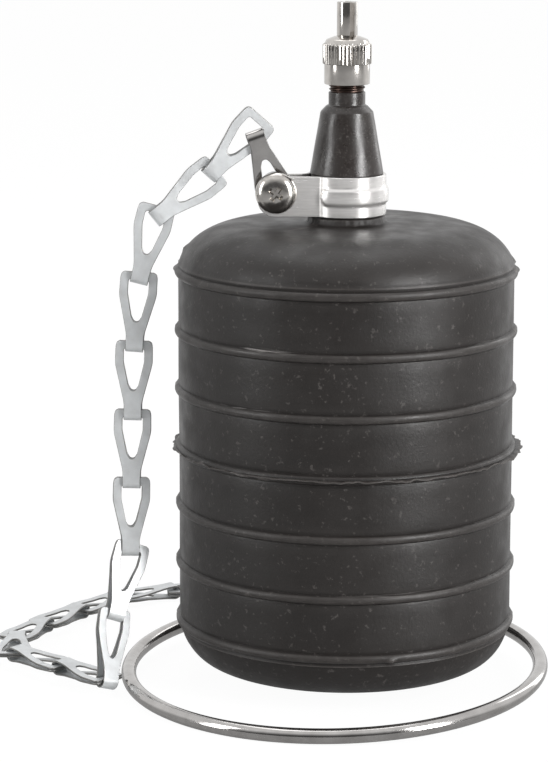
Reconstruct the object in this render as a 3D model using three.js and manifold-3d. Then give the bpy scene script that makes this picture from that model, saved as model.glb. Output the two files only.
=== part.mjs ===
// Inflatable pipe plug: a ribbed rubber bladder with a tyre type valve in its neck,
// a screwed band clamp round the neck, and a folded link chain that ends on a pull ring.
// Millimetres, +Z up. The origin is on the bladder's axis, at the floor that it stands on.
import * as THREE from "three";
import { mergeVertices } from "three/addons/utils/BufferGeometryUtils.js";
import Module from "manifold-3d";

const wasm = await Module();
wasm.setup();

// Clearances
const FIT = 0.1;          // between pieces that sit in one another
const LOOSE = 0.3;        // between pieces that only rest on one another

// Bladder
const BODY_R = 36;        // outside, between the ribs
const BODY_WALL = 5;
const BODY_SIDES = 32;
const REST_R = 13;        // flat spot that the bladder stands on
const REST_RISE = 3.8;    // how far the crowned bottom rises from the flat spot to the lower round
const ROUND_W = 8;        // lower round, across and up
const ROUND_H = 10;
const SHOULDER_W = 14;    // upper round, across and up
const SHOULDER_H = 10;
const CROWN = 0.4;        // rise of the top face towards the neck
const RIB_COUNT = 7;
const RIB_PITCH = 12.7;
const RIB_PROUD = 0.8;
const RIB_H = 2.5;
const RIB_UP = 0.7;       // height of the lowest rib under the end of the lower round
const FLASH_RIB = 3;      // the mould parts here, and a thin fin of rubber stands out of this rib
const FLASH_PROUD = 1.1;
const FLASH_H = 0.5;

// Neck and valve stem
const NECK_R = 8.7;
const NECK_FOOT = 1.8;    // height of the thick foot of the neck, under the band
const NECK_CLAMPED_R = 7.6;
const BORE_R = 5;
const STEM_FLANGE_R = 8.4;
const STEM_FLANGE_H = 2.2;
const CONE_R0 = 7.85;
const CONE_R1 = 5.6;
const CONE_H = 13.2;
const CONE_CHAMFER_R = 4.35;
const CONE_CHAMFER_H = 1.3;
const SLEEVE_R = 3.9;
const SLEEVE_H = 2.9;

// Valve tube and its core
const TUBE_R = 3;
const THREAD_R = 3.85;
const THREAD_LEN = 8.1;
const TUBE_BORE_R = 1.8;
const CORE_BORE_R = 2.65;
const SEAT_H = 1;
const CORE_R = 2.45;
const CORE_H = 7.9;
const CORE_CHAMBER_R = 1.65;
const CORE_LIP = 0.9;     // floor and roof of the spring chamber
const CORE_DROP = 1.1;    // how far the core sits below the tube's mouth
const GASKET_H = 1.5;
const GASKET_GROOVE = 0.45;
const PIN_R = 0.55;
const PIN_HOLE_R = 0.8;
const PIN_DROP = 0.4;     // the pin's top below the tube's mouth
const COLLAR_R = 1.25;
const COLLAR_H = 0.5;
const PIN_TRAVEL = 1.2;    // how far the pin is pushed down to let air out
const CUP_R = 2.1;
const CUP_H = 1.2;
const SPRING_WIRE = 0.3;
const SPRING_TURNS = 4;

// Valve cap
const CAP_R = 4.85;
const CAP_WALL = 0.8;
const SKIRT_H = 4.3;
const KNURL_R = 5.2;
const KNURL_DEPTH = 0.3;
const KNURL_TEETH = 24;
const KNURL_H = 4.2;
const CAP_TOP_R = 4.3;
const CAP_TOP_H = 1;
const CAP_CONE_R = 2.6;
const CAP_CONE_H = 0.65;
const CAP_ROOF = 2.2;     // from the inside of the roof to the top of the small cone
const FORK_R = 2.2;
const FORK_H = 7.2;
const FORK_SLOT = 1.1;
const FORK_TURN = 0.5;    // radians, the way the slot faces at rest
const THREAD_SHOWN = 1.5; // thread seen under the cap

// Clamp
const STRIP = 0.8;
const BAND_H = 8.6;
const BEAD_H = 3.9;
const BEAD_PROUD = 0.55;
const BEAD_START = 1.2;   // radians round the band from the front ear's bend
const EAR_FRONT_Y = -6.3; // outer face of the front ear
const EAR_GAP = 4.2;      // between the ears
const EAR_REACH = 18.8;   // end of the ears, from the axis
const SCREW_X = -14.87;
const SHANK_R = 1.65;
const HOLE_R = 1.85;
const HEAD_R = 4.4;
const HEAD_H = 2.5;
const RECESS_W = 1.1;
const RECESS_LEN = 3.8;
const RECESS_DEPTH = 1.2;
const WASHER_R = 3.9;
const WASHER_H = 0.7;
const NUT_ACROSS = 6.2;   // across the flats
const NUT_H = 2.7;
const SHANK_OUT = 0.9;    // thread beyond the nut

// Chain link, a stamped strip folded double like a hairpin
const SHEET = 0.42;
const LINK_PITCH = 14.75;
const LINK_WIDE = 8;
const LINK_NARROW = 3.8;
const LINK_BAR = 1.6;     // the wide end's bar
const LINK_HIP = 4.2;     // from the bar's middle to where the sides turn in
const LINK_WAIST = 12.5;  // and to where they run straight again
const WINDOW_W = 4.4;
const WINDOW_END = 9.8;   // far end of the window, from the bar's middle
const LOOP_R = 1.3;       // inside the fold
const GAP_WIDE = 0.1;     // between the two leaves at the wide end
const GAP_WINDOW = 0.7;   // and at the far end of the window
const FOLD_STEPS = 7;

const LEG_HELD = 3.9;     // where the first fold holds the second link's leg, from its bar
const LEG_DEPTH = 1.1;    // and how far inside the fold
const SIDE_GAP = 9;       // the hanging chain's middle, out from the bladder's side

// Pull ring
const RING_R = 44.6;      // to the middle of the wire
const RING_WIRE_R = 1.6;
const RING_LAP = 1.8;     // the chain comes down this far inside the middle of the ring's wire
const RING_SIDES = 48;
const RING_X = -2.2;
const RING_TUCK = 0.3;    // rear of the ring, out from under the bladder's side
const RING_Y = BODY_R + RING_TUCK - RING_R;
const RING_REAR_UP = 0.0417;   // radians, the rear lies on the chain's end
const RING_RIGHT_UP = 0.0238;

// Heights that follow
const ROUND_TOP = REST_RISE - 0.2 + ROUND_H;
const RIB_FIRST = ROUND_TOP - RIB_UP;
const RIB_LAST = RIB_FIRST + (RIB_COUNT - 1) * RIB_PITCH;
const TOP_EDGE = RIB_LAST + SHOULDER_H;
const TOP_Z = TOP_EDGE + CROWN;
const ROOF_Z = TOP_EDGE - BODY_WALL;
const BAND_Z0 = TOP_Z + NECK_FOOT;
const BAND_Z1 = BAND_Z0 + BAND_H;
const NECK_TOP = BAND_Z1 - FIT;
const CONE_Z0 = NECK_TOP + FIT;
const CONE_Z1 = CONE_Z0 + CONE_H;
const SLEEVE_Z0 = CONE_Z1 + CONE_CHAMFER_H;
const SLEEVE_Z1 = SLEEVE_Z0 + SLEEVE_H;
const THREAD_Z0 = SLEEVE_Z1 + FIT;
const MOUTH_Z = THREAD_Z0 + THREAD_LEN;
const CAP_Z0 = THREAD_Z0 + THREAD_SHOWN;
const SCREW_Z = BAND_Z0 + 0.6 * BAND_H;
const RING_Z = RING_WIRE_R + RING_R * Math.hypot(Math.sin(RING_REAR_UP), Math.sin(RING_RIGHT_UP));

const FINISHES = {
  rubber: { color: 0x383430, roughness: 0.62, metalness: 0 },
  stemRubber: { color: 0x24201e, roughness: 0.38, metalness: 0 },
  seal: { color: 0x1c1c1c, roughness: 0.6, metalness: 0 },
  brass: { color: 0xb08a4a, roughness: 0.35, metalness: 1 },
  nickel: { color: 0xb9b4ad, roughness: 0.25, metalness: 1 },
  zinc: { color: 0xbfc1c0, roughness: 0.38, metalness: 1 },
  steel: { color: 0xc4c2c0, roughness: 0.18, metalness: 1 },
  spring: { color: 0x9a9a98, roughness: 0.3, metalness: 1 },
};

const part = new THREE.Group();

function v3(x, y, z) {
  return new THREE.Vector3(x, y, z);
}

function v2(x, y) {
  return new THREE.Vector2(x, y);
}

// A geometry with nothing but merged positions
function bare(geometry) {
  const copy = geometry.clone();
  for (const name of Object.keys(copy.attributes)) {
    if (name !== "position") copy.deleteAttribute(name);
  }
  return mergeVertices(copy, 1e-4);
}

function toSolid(geometry) {
  const merged = bare(geometry);
  const vertProperties = new Float32Array(merged.attributes.position.array);
  const triVerts = new Uint32Array(merged.index.array);
  return new wasm.Manifold(new wasm.Mesh({ numProp: 3, vertProperties, triVerts }));
}

function toGeometry(solid) {
  const mesh = solid.getMesh();
  const geometry = new THREE.BufferGeometry();
  geometry.setAttribute("position", new THREE.BufferAttribute(new Float32Array(mesh.vertProperties), 3));
  geometry.setIndex(new THREE.BufferAttribute(new Uint32Array(mesh.triVerts), 1));
  return geometry;
}

function add(name, geometry, finish, place) {
  const shaded = geometry.index && !geometry.attributes.normal ? geometry : bare(geometry);
  shaded.computeVertexNormals();
  const mesh = new THREE.Mesh(shaded, new THREE.MeshStandardMaterial(FINISHES[finish]));
  mesh.name = name;
  if (place) mesh.applyMatrix4(place);
  part.add(mesh);
  return mesh;
}

// A solid of revolution about Z, from [radius, height] pairs
function turned(profile, sides) {
  const points = profile.map(([r, z]) => v2(r, z));
  return new THREE.LatheGeometry(points, sides).rotateX(Math.PI / 2);
}

// The same for a profile that closes on itself, as a tube does
function turnedTube(profile, sides) {
  return turned([...profile, profile[0]], sides);
}

// An outline in the XY plane, pushed up from z0 to z1
function pushed(outline, z0, z1) {
  const shape = outline instanceof THREE.Shape ? outline : new THREE.Shape(outline);
  const geometry = new THREE.ExtrudeGeometry(shape, { depth: z1 - z0, bevelEnabled: false, curveSegments: 6 });
  return geometry.translate(0, 0, z0);
}

function disc(radius, z0, z1, sides) {
  return turned([[0, z0], [radius, z0], [radius, z1], [0, z1]], sides);
}

function tubePiece(outer, inner, z0, z1, sides) {
  return turnedTube([[inner, z0], [outer, z0], [outer, z1], [inner, z1]], sides);
}

// Points of a quarter of an ellipse, from angle a0 to a1
function roundPoints(centreR, centreZ, across, up, a0, a1, steps) {
  const points = [];
  for (let i = 0; i <= steps; i++) {
    const a = a0 + ((a1 - a0) * i) / steps;
    points.push([centreR + across * Math.cos(a), centreZ + up * Math.sin(a)]);
  }
  return points;
}

// Bladder

function ribPoints(z, flash) {
  const half = RIB_H / 2;
  const far = BODY_R + RIB_PROUD;
  const crest = flash
    ? [[far, z - FLASH_H / 2], [far + FLASH_PROUD, z - FLASH_H / 2],
       [far + FLASH_PROUD, z + FLASH_H / 2], [far, z + FLASH_H / 2]]
    : [[far, z - 0.3 * half], [far, z + 0.3 * half]];
  return [[BODY_R, z - half], ...crest, [BODY_R, z + half]];
}

function bladderOutside() {
  const crowned = [[REST_R, 0], [(REST_R + BODY_R - ROUND_W) / 2 + 1, 0.44 * REST_RISE]];
  const start = -Math.PI / 2 + 0.2;
  const lower = roundPoints(BODY_R - ROUND_W, ROUND_TOP, ROUND_W, ROUND_H, start, 0, 6)
    .filter(([, z]) => z < RIB_FIRST - RIB_H / 2 - 0.2);
  const ribs = [];
  for (let i = 0; i < RIB_COUNT; i++) {
    ribs.push(...ribPoints(RIB_FIRST + i * RIB_PITCH, i === FLASH_RIB));
  }
  const upper = roundPoints(BODY_R - SHOULDER_W, RIB_LAST, SHOULDER_W, SHOULDER_H, 0, Math.PI / 2, 9)
    .filter(([, z]) => z > RIB_LAST + RIB_H / 2 + 0.2);
  const neck = [[NECK_R, TOP_Z], [NECK_R, BAND_Z0 - LOOSE], [NECK_CLAMPED_R, BAND_Z0 - LOOSE],
    [NECK_CLAMPED_R, NECK_TOP]];
  return [[0, 0], ...crowned, ...lower, ...ribs, ...upper, ...neck];
}

function bladderInside() {
  const r = BODY_R - BODY_WALL;
  const floor = REST_RISE + BODY_WALL;
  const roundR = ROUND_W - 2;
  const top = roundPoints(r - SHOULDER_W + 4, ROOF_Z - SHOULDER_H + 2, SHOULDER_W - 4, SHOULDER_H - 2,
    Math.PI / 2, 0, 4);
  const bottom = roundPoints(r - roundR, floor + roundR, roundR, roundR, 0, -Math.PI / 2, 3);
  return [[BORE_R, NECK_TOP], [BORE_R, ROOF_Z], ...top, ...bottom, [0, floor]];
}

function makeBladder() {
  const profile = [...bladderOutside(), ...bladderInside()];
  add("bladder", turned(profile, BODY_SIDES), "rubber");
}

// Valve stem, tube and cap

function makeStem() {
  const shaft = BORE_R - FIT;
  const flangeZ1 = ROOF_Z - FIT;
  const flangeZ0 = flangeZ1 - STEM_FLANGE_H;
  const bore = TUBE_R + FIT;
  add("valve_stem", turnedTube([
    [bore, flangeZ0], [STEM_FLANGE_R, flangeZ0], [STEM_FLANGE_R, flangeZ1], [shaft, flangeZ1],
    [shaft, CONE_Z0], [CONE_R0, CONE_Z0], [CONE_R1, CONE_Z1], [CONE_CHAMFER_R, SLEEVE_Z0],
    [SLEEVE_R, SLEEVE_Z0], [SLEEVE_R, SLEEVE_Z1], [bore, SLEEVE_Z1],
  ], 28), "stemRubber");
}

function makeTube() {
  const foot = ROOF_Z - FIT - STEM_FLANGE_H;
  const seat = CUP_Z1 - CUP_H - PIN_TRAVEL - 2 * FIT;
  add("valve_tube", turnedTube([
    [TUBE_BORE_R, foot], [TUBE_R, foot], [TUBE_R, THREAD_Z0], [THREAD_R, THREAD_Z0], [THREAD_R, MOUTH_Z - 0.4],
    [THREAD_R - 0.4, MOUTH_Z], [CORE_BORE_R, MOUTH_Z], [CORE_BORE_R, seat], [TUBE_BORE_R, seat - SEAT_H],
  ], 24), "brass");
}

const CORE_Z1 = MOUTH_Z - CORE_DROP;
const CORE_Z0 = CORE_Z1 - CORE_H;
const CHAMBER_Z0 = CORE_Z0 + CORE_LIP;
const CHAMBER_Z1 = CORE_Z1 - CORE_LIP;
const COLLAR_Z1 = CHAMBER_Z1 - FIT;
const COLLAR_Z0 = COLLAR_Z1 - COLLAR_H;
const CUP_Z1 = CORE_Z0 - FIT;

// Outer skin with a groove for the sleeve gasket, and a spring chamber open through the pin's holes
function makeCore() {
  const grooveZ0 = CORE_Z0 + 1;
  const grooveZ1 = grooveZ0 + GASKET_H;
  const grooveR = CORE_R - GASKET_GROOVE;
  add("core_housing", turnedTube([
    [PIN_HOLE_R, CORE_Z0], [CORE_R, CORE_Z0], [CORE_R, grooveZ0], [grooveR, grooveZ0], [grooveR, grooveZ1],
    [CORE_R, grooveZ1], [CORE_R, CORE_Z1], [PIN_HOLE_R, CORE_Z1], [PIN_HOLE_R, CHAMBER_Z1],
    [CORE_CHAMBER_R, CHAMBER_Z1], [CORE_CHAMBER_R, CHAMBER_Z0], [PIN_HOLE_R, CHAMBER_Z0],
  ], 20), "brass");
  const inset = FIT / 2;
  add("core_gasket", tubePiece(CORE_BORE_R - FIT, grooveR + inset, grooveZ0 + inset, grooveZ1 - inset, 20), "seal");
}

function makePin() {
  const top = MOUTH_Z - PIN_DROP;
  const cupZ0 = CUP_Z1 - CUP_H;
  const foot = cupZ0 - FIT - 0.5;
  add("core_pin", turned([
    [0, foot], [PIN_R + 0.35, foot], [PIN_R + 0.35, cupZ0 - FIT], [PIN_R, cupZ0 - FIT], [PIN_R, COLLAR_Z0],
    [COLLAR_R, COLLAR_Z0], [COLLAR_R, COLLAR_Z1], [PIN_R, COLLAR_Z1], [PIN_R, top], [0, top],
  ], 12), "brass");
  add("core_cup", tubePiece(CUP_R, PIN_R + FIT / 2, cupZ0, CUP_Z1, 16), "seal");
}

function makeSpring() {
  const wire = SPRING_WIRE / 2;
  const radius = (PIN_R + CORE_CHAMBER_R) / 2;
  const z0 = CHAMBER_Z0 + wire + FIT;
  const z1 = COLLAR_Z0 - wire - FIT;
  const points = [];
  const steps = SPRING_TURNS * 8;
  for (let i = 0; i <= steps; i++) {
    const a = (i / steps) * SPRING_TURNS * 2 * Math.PI;
    points.push(v3(radius * Math.cos(a), radius * Math.sin(a), z0 + ((z1 - z0) * i) / steps));
  }
  const path = new THREE.CatmullRomCurve3(points);
  const section = new THREE.Shape([v2(wire, 0), v2(0, wire), v2(-wire, 0), v2(0, -wire)]);
  add("core_spring", new THREE.ExtrudeGeometry(section, { steps, extrudePath: path, bevelEnabled: false }), "spring");
}

function knurlOutline() {
  const points = [];
  for (let i = 0; i < 2 * KNURL_TEETH; i++) {
    const a = (Math.PI * i) / KNURL_TEETH;
    const r = i % 2 ? KNURL_R - KNURL_DEPTH : KNURL_R;
    points.push(v2(r * Math.cos(a), r * Math.sin(a)));
  }
  return points;
}

const KNURL_Z0 = CAP_Z0 + SKIRT_H;
const KNURL_Z1 = KNURL_Z0 + KNURL_H;
const CAP_CONE_Z0 = KNURL_Z1 + CAP_TOP_H;
const CAP_CONE_Z1 = CAP_CONE_Z0 + CAP_CONE_H;
const CAP_ROOF_Z = CAP_CONE_Z1 - CAP_ROOF;

function makeCap() {
  const inner = CAP_R - CAP_WALL;
  const body = toSolid(turned([
    [0, CAP_ROOF_Z], [inner, CAP_ROOF_Z], [inner, CAP_Z0], [CAP_R - 0.3, CAP_Z0], [CAP_R, CAP_Z0 + 0.3],
    [CAP_R, KNURL_Z1], [CAP_TOP_R, CAP_CONE_Z0], [CAP_CONE_R, CAP_CONE_Z1], [0, CAP_CONE_Z1],
  ], 30));
  const knurl = toSolid(pushed(knurlOutline(), KNURL_Z0, KNURL_Z1)).subtract(toSolid(
    disc(inner, KNURL_Z0 - 1, KNURL_Z1 + 1, 30)));
  const forkZ0 = CAP_CONE_Z1 - 0.4;
  const fork = toSolid(disc(FORK_R, forkZ0, CAP_CONE_Z1 + FORK_H, 16));
  const slot = toSolid(new THREE.BoxGeometry(FORK_SLOT, 4 * FORK_R, FORK_H)
    .rotateZ(FORK_TURN).translate(0, 0, CAP_CONE_Z1 + FORK_H / 2));
  add("valve_cap", toGeometry(body.add(knurl).add(fork.subtract(slot))), "nickel");
  add("cap_gasket", disc(inner - FIT, MOUTH_Z + FIT, CAP_ROOF_Z - FIT, 24), "seal");
}

// Clamp

const BAND_IN = NECK_CLAMPED_R + FIT;
const BAND_OUT = BAND_IN + STRIP;
const EAR_REAR_Y = EAR_FRONT_Y + STRIP + EAR_GAP;   // inner face of the rear ear
const FRONT_BEND = -Math.PI / 2 - Math.acos(-(EAR_FRONT_Y + 0.2) / BAND_OUT);

// A quarter section of the band's round, with the bead pressed out of its middle
function bandRound() {
  const mid = (BAND_Z0 + BAND_Z1) / 2;
  const half = BEAD_H / 2;
  const side = (r, sign) => [
    [r, mid - sign * BAND_H / 2], [r, mid - sign * half], [r + BEAD_PROUD, mid - sign * 0.45 * half],
    [r + BEAD_PROUD, mid + sign * 0.45 * half], [r, mid + sign * half], [r, mid + sign * BAND_H / 2]];
  return toSolid(turnedTube([...side(BAND_OUT, 1), ...side(BAND_IN, -1)], 32));
}

function plainRound() {
  return toSolid(tubePiece(BAND_OUT, BAND_IN, BAND_Z0, BAND_Z1, 32));
}

// A wedge of the plan, from angle a0 round to a1
function wedge(a0, a1) {
  const points = [v2(0, 0)];
  for (let i = 0; i <= 8; i++) {
    const a = a0 + ((a1 - a0) * i) / 8;
    points.push(v2(2 * BAND_OUT * Math.cos(a), 2 * BAND_OUT * Math.sin(a)));
  }
  return toSolid(pushed(points, BAND_Z0 - 1, BAND_Z1 + 1));
}

// A rounded ear that stands in the XZ plane, with its inner face at y0
function ear(y0, xEnd) {
  const mid = (BAND_Z0 + BAND_Z1) / 2;
  const corner = 0.42 * BAND_H;
  const shape = new THREE.Shape();
  shape.moveTo(xEnd, mid - BAND_H / 2);
  shape.lineTo(-EAR_REACH + corner, mid - BAND_H / 2);
  shape.absarc(-EAR_REACH + corner, mid - BAND_H / 2 + corner, corner, -Math.PI / 2, -Math.PI, true);
  shape.lineTo(-EAR_REACH, mid + BAND_H / 2 - corner);
  shape.absarc(-EAR_REACH + corner, mid + BAND_H / 2 - corner, corner, Math.PI, Math.PI / 2, true);
  shape.lineTo(xEnd, mid + BAND_H / 2);
  const plate = new THREE.ExtrudeGeometry(shape, { depth: STRIP, bevelEnabled: false, curveSegments: 6 });
  return toSolid(plate.rotateX(Math.PI / 2).translate(0, y0 + STRIP, 0));
}

function acrossY(radius, y0, y1, sides) {
  return disc(radius, y0, y1, sides).rotateX(-Math.PI / 2).translate(SCREW_X, 0, SCREW_Z);
}

function makeBand() {
  const seamFrom = Math.PI - 0.02;
  const seamTo = 2 * Math.PI + FRONT_BEND;
  const seam = wedge(seamFrom, seamTo);
  const beadFrom = FRONT_BEND + BEAD_START;
  const beaded = bandRound().subtract(wedge(FRONT_BEND - 1, beadFrom)).subtract(wedge(Math.PI / 2, Math.PI + 0.5));
  const lap = 0.05;
  const plain = plainRound().subtract(wedge(beadFrom + lap, Math.PI / 2 - lap));
  const round = plain.add(beaded).subtract(seam);
  const frontX = BAND_OUT * Math.cos(FRONT_BEND) + 1.2;
  const front = ear(EAR_FRONT_Y, frontX).subtract(toSolid(disc(BAND_IN + STRIP / 2, BAND_Z0 - 1, BAND_Z1 + 1, 32)));
  const rear = ear(EAR_REAR_Y, -BAND_IN - 0.05);
  const turn = toSolid(pushed([
    v2(-BAND_IN - 0.05, EAR_REAR_Y), v2(-BAND_IN - 0.05, 1.5), v2(-BAND_OUT, 1.5), v2(-BAND_OUT - 0.5, EAR_REAR_Y)],
    BAND_Z0, BAND_Z1));
  const hole = toSolid(acrossY(HOLE_R, EAR_FRONT_Y - 5, EAR_REAR_Y + 5, 20));
  add("clamp_band", toGeometry(round.add(front).add(rear).add(turn).subtract(hole)), "steel");
}

function makeScrew() {
  const seat = EAR_FRONT_Y;
  const washerY0 = EAR_REAR_Y + STRIP;
  const nutY0 = washerY0 + WASHER_H;
  const end = nutY0 + NUT_H + SHANK_OUT;
  const head = toSolid(turned([
    [0, -end], [SHANK_R - 0.3, -end], [SHANK_R, -end + 0.3], [SHANK_R, -seat], [HEAD_R, -seat],
    [HEAD_R, -seat + 0.35 * HEAD_H], [0.75 * HEAD_R, -seat + 0.85 * HEAD_H], [0.4 * HEAD_R, -seat + HEAD_H],
    [0, -seat + HEAD_H]], 24).rotateX(Math.PI / 2).translate(SCREW_X, 0, SCREW_Z));
  const arm = (w, h) => toSolid(new THREE.BoxGeometry(w, 2 * RECESS_DEPTH, h)
    .rotateY(0.6).translate(SCREW_X, seat - HEAD_H, SCREW_Z));
  const recess = arm(RECESS_W, RECESS_LEN).add(arm(RECESS_LEN, RECESS_W));
  add("clamp_screw", toGeometry(head.subtract(recess)), "nickel");
  const bore = SHANK_R + FIT;
  const washer = tubePiece(WASHER_R, bore, washerY0, nutY0, 24);
  add("clamp_washer", washer.rotateX(-Math.PI / 2).translate(SCREW_X, 0, SCREW_Z), "zinc");
  const corner = NUT_ACROSS / 2 / Math.cos(Math.PI / 6);
  const hex = new THREE.Shape(Array.from({ length: 6 }, (_, i) => {
    const a = (i * Math.PI) / 3;
    return v2(corner * Math.cos(a), corner * Math.sin(a));
  }));
  const hole = new THREE.Path();
  hole.absarc(0, 0, bore, 0, 2 * Math.PI, true);
  hex.holes.push(hole);
  const nut = new THREE.ExtrudeGeometry(hex, { depth: NUT_H, bevelEnabled: false, curveSegments: 16 });
  add("clamp_nut", nut.rotateX(-Math.PI / 2).translate(SCREW_X, nutY0, SCREW_Z), "zinc");
}

// Chain

// The folded strip seen from its side: Y runs along the link from the bar, Z through the two leaves
function hairpin(loopR) {
  const start = -LINK_BAR / 2;
  const leaf = (offset, radius) => {
    const points = [v2(start, GAP_WIDE / 2 + offset), v2(0.72 * WINDOW_END, GAP_WINDOW / 2 + offset)];
    for (let i = 0; i <= FOLD_STEPS; i++) {
      const a = 1.85 - (3.7 * i) / FOLD_STEPS;
      points.push(v2(LINK_PITCH + radius * Math.cos(a), radius * Math.sin(a)));
    }
    points.push(v2(0.72 * WINDOW_END, -GAP_WINDOW / 2 - offset), v2(start, -GAP_WIDE / 2 - offset));
    return points;
  };
  return [...leaf(SHEET, loopR + SHEET), ...leaf(0, loopR).reverse()];
}

function linkPlan(loopR) {
  const wide = LINK_WIDE / 2;
  const narrow = LINK_NARROW / 2;
  const y0 = -LINK_BAR / 2;
  const y1 = LINK_PITCH + loopR + SHEET + 1;
  const right = [[wide - 0.9, y0 - 0.01], [wide - 0.25, y0 + 0.35], [wide - 0.05, y0 + 1.2], [wide, LINK_HIP],
    [narrow, LINK_WAIST], [narrow, y1]];
  const left = right.map(([x, y]) => [-x, y]).reverse();
  const shape = new THREE.Shape([...right, ...left].map(([x, y]) => v2(x, y)));
  const half = WINDOW_W / 2;
  const bar = LINK_BAR / 2;
  const edge = [[half - 0.3, bar], [half, bar + 0.3], [half, LINK_HIP - 0.4], [0.5 * half, WINDOW_END - 1],
    [0.25 * half, WINDOW_END]];
  const window = [...edge, ...edge.map(([x, y]) => [-x, y]).reverse()];
  shape.holes.push(new THREE.Path(window.map(([x, y]) => v2(x, y))));
  return shape;
}

function linkGeometry(loopR) {
  const side = pushed(hairpin(loopR), -LINK_WIDE, LINK_WIDE);
  const axes = new THREE.Matrix4().makeBasis(v3(0, 1, 0), v3(0, 0, 1), v3(1, 0, 0));
  const thick = loopR + SHEET + 1;
  const plan = toSolid(pushed(linkPlan(loopR), -thick, thick));
  return toGeometry(toSolid(side.applyMatrix4(axes)).intersect(plan));
}

// A link's frame: bar is the middle of its bar, along points at its fold, face is square to its leaves
function linkFrame(bar, along, face) {
  const across = v3(0, 0, 0).crossVectors(along, face).normalize();
  const normal = v3(0, 0, 0).crossVectors(across, along).normalize();
  return { bar, along, across, normal, loop: bar.clone().addScaledVector(along, LINK_PITCH) };
}

function linkMatrix(frame) {
  return new THREE.Matrix4().makeBasis(frame.across, frame.along, frame.normal).setPosition(frame.bar);
}

// The fold of the first link stands over the screw, and holds a leg of the second link
function firstLinks() {
  const lean = 0.34;
  const turn = 0.14;
  const along = v3(-Math.sin(lean), 0, Math.cos(lean));
  const screw = v3(SCREW_X - LOOSE, EAR_FRONT_Y + STRIP + EAR_GAP / 2, SCREW_Z);
  const bar = screw.addScaledVector(along, -(SHANK_R + LOOSE + LINK_BAR / 2));
  const first = linkFrame(bar, along, v3(Math.sin(turn), -Math.cos(turn), 0));
  const down = v3(-0.67, 0, -0.74).normalize();
  const second = linkFrame(v3(0, 0, 0), down, v3(-0.08, 0.99, 0.08));
  const held = first.loop.clone().addScaledVector(along, -LEG_DEPTH);
  const leg = (LINK_WIDE / 2 + WINDOW_W / 2) / 2;
  second.bar.copy(held).addScaledVector(down, -LEG_HELD).addScaledVector(second.across, -leg);
  second.loop.copy(second.bar).addScaledVector(down, LINK_PITCH);
  return [first, second];
}

// Middle of the pull ring's wire, at an angle round the ring
function ringPoint(angle) {
  const x = RING_R * Math.cos(angle);
  const y = RING_R * Math.sin(angle);
  return v3(x, y, 0).applyEuler(new THREE.Euler(RING_REAR_UP, -RING_RIGHT_UP, 0)).add(v3(RING_X, RING_Y, RING_Z));
}

// The way the chain takes: down beside the bladder, out over the floor and round behind it to the ring.
// The points are chosen by hand, and keep their distance from the bladder. Slack widens the hidden bend.
function chainRoute(start, slack) {
  const side = -(BODY_R + SIDE_GAP);
  const out = RING_X - RING_R + RING_LAP;
  const flat = LOOP_R + SHEET;
  const top = start.z;
  const end = ringPoint(Math.PI / 2);
  const back = end.y;
  const points = [
    start, v3(side + 4.7, -5.5, top - 10.2), v3(side + 1, -6.5, top - 23.9), v3(side - 0.1, -7.4, top - 38.3),
    v3(side - 0.5, -8.3, top - 52.7), v3((side + out) / 2 - 0.8, -9.2, top - 67), v3(out - 1.2, -10.2, top - 81),
    v3(out - 4.4, -15.3, flat + 14.2), v3(out - 6.5, -20.8, flat - 0.2), v3(out - 15.6, -10.7, flat + 1.6),
    v3(out - 26.5, -1.7, flat + 1.7), v3(out - 28.5, 12.7, flat + 1.2), v3(out - 24, 26, flat + 0.7),
    v3(out - 17, back + 2.7, flat + 0.3), v3(out - 9, back + 14.7, flat), v3(out + 2, back + 21.2, flat),
    v3(end.x - 28.7, back + 24.7 + slack, flat), v3(end.x - 14.7, back + 25.7 + 1.5 * slack, flat),
    v3(end.x - 3.5, back + 21.5 + slack, flat + 0.3), v3(end.x - 0.5, back + 12.9, flat + 0.9), end,
  ];
  return new THREE.CatmullRomCurve3(points, false, "centripetal");
}

// The next place on the route that lies one link away from a point
function stepAlong(route, from, at) {
  let low = at;
  let high = at;
  while (high < 1 && route.getPoint(high).distanceTo(from) < LINK_PITCH) {
    low = high;
    high += 0.004;
  }
  for (let i = 0; i < 20; i++) {
    const mid = (low + high) / 2;
    if (route.getPoint(mid).distanceTo(from) < LINK_PITCH) low = mid;
    else high = mid;
  }
  return high;
}

// Hanging links face the front and turn a little as they near the floor, where the links lie flat
function faceOf(along, height) {
  if (Math.abs(along.z) < 0.5) return v3(0, 0, 1);
  const turn = 0.81 * Math.max(0, 1 - height / 46);
  return v3(-Math.sin(turn), Math.cos(turn), 0);
}

// Where a chain bends in the plane of its leaves, the next bar sits deeper in the fold
function bendShift(link, next) {
  const across = next.across.clone().addScaledVector(link.normal, -next.across.dot(link.normal)).normalize();
  const cosine = Math.min(1, Math.abs(across.dot(link.across)));
  const sine = Math.sqrt(1 - cosine * cosine);
  const room = Math.sqrt(LOOP_R ** 2 - (SHEET + GAP_WIDE) ** 2) - 2 * FIT;
  const deep = Math.abs(next.along.dot(link.along)) * LINK_BAR / 2;
  const thick = Math.abs(next.normal.dot(link.along)) * (SHEET + GAP_WIDE);
  return Math.max(0, (LINK_NARROW / 2) * (sine / cosine) + (deep + thick) / cosine - room);
}

// The next bar seated in a fold, and slid along itself so that the fold's end is in the middle of the window
function seatedBar(link, next) {
  const shift = bendShift(link, next);
  const reach = next.along.clone().addScaledVector(link.across, -next.along.dot(link.across)).normalize();
  const fold = reach.multiplyScalar(LOOP_R + SHEET / 2).addScaledVector(link.along, shift);
  const bar = link.loop.clone().addScaledVector(link.along, -shift);
  return bar.addScaledVector(next.across, fold.dot(next.across));
}

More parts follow.
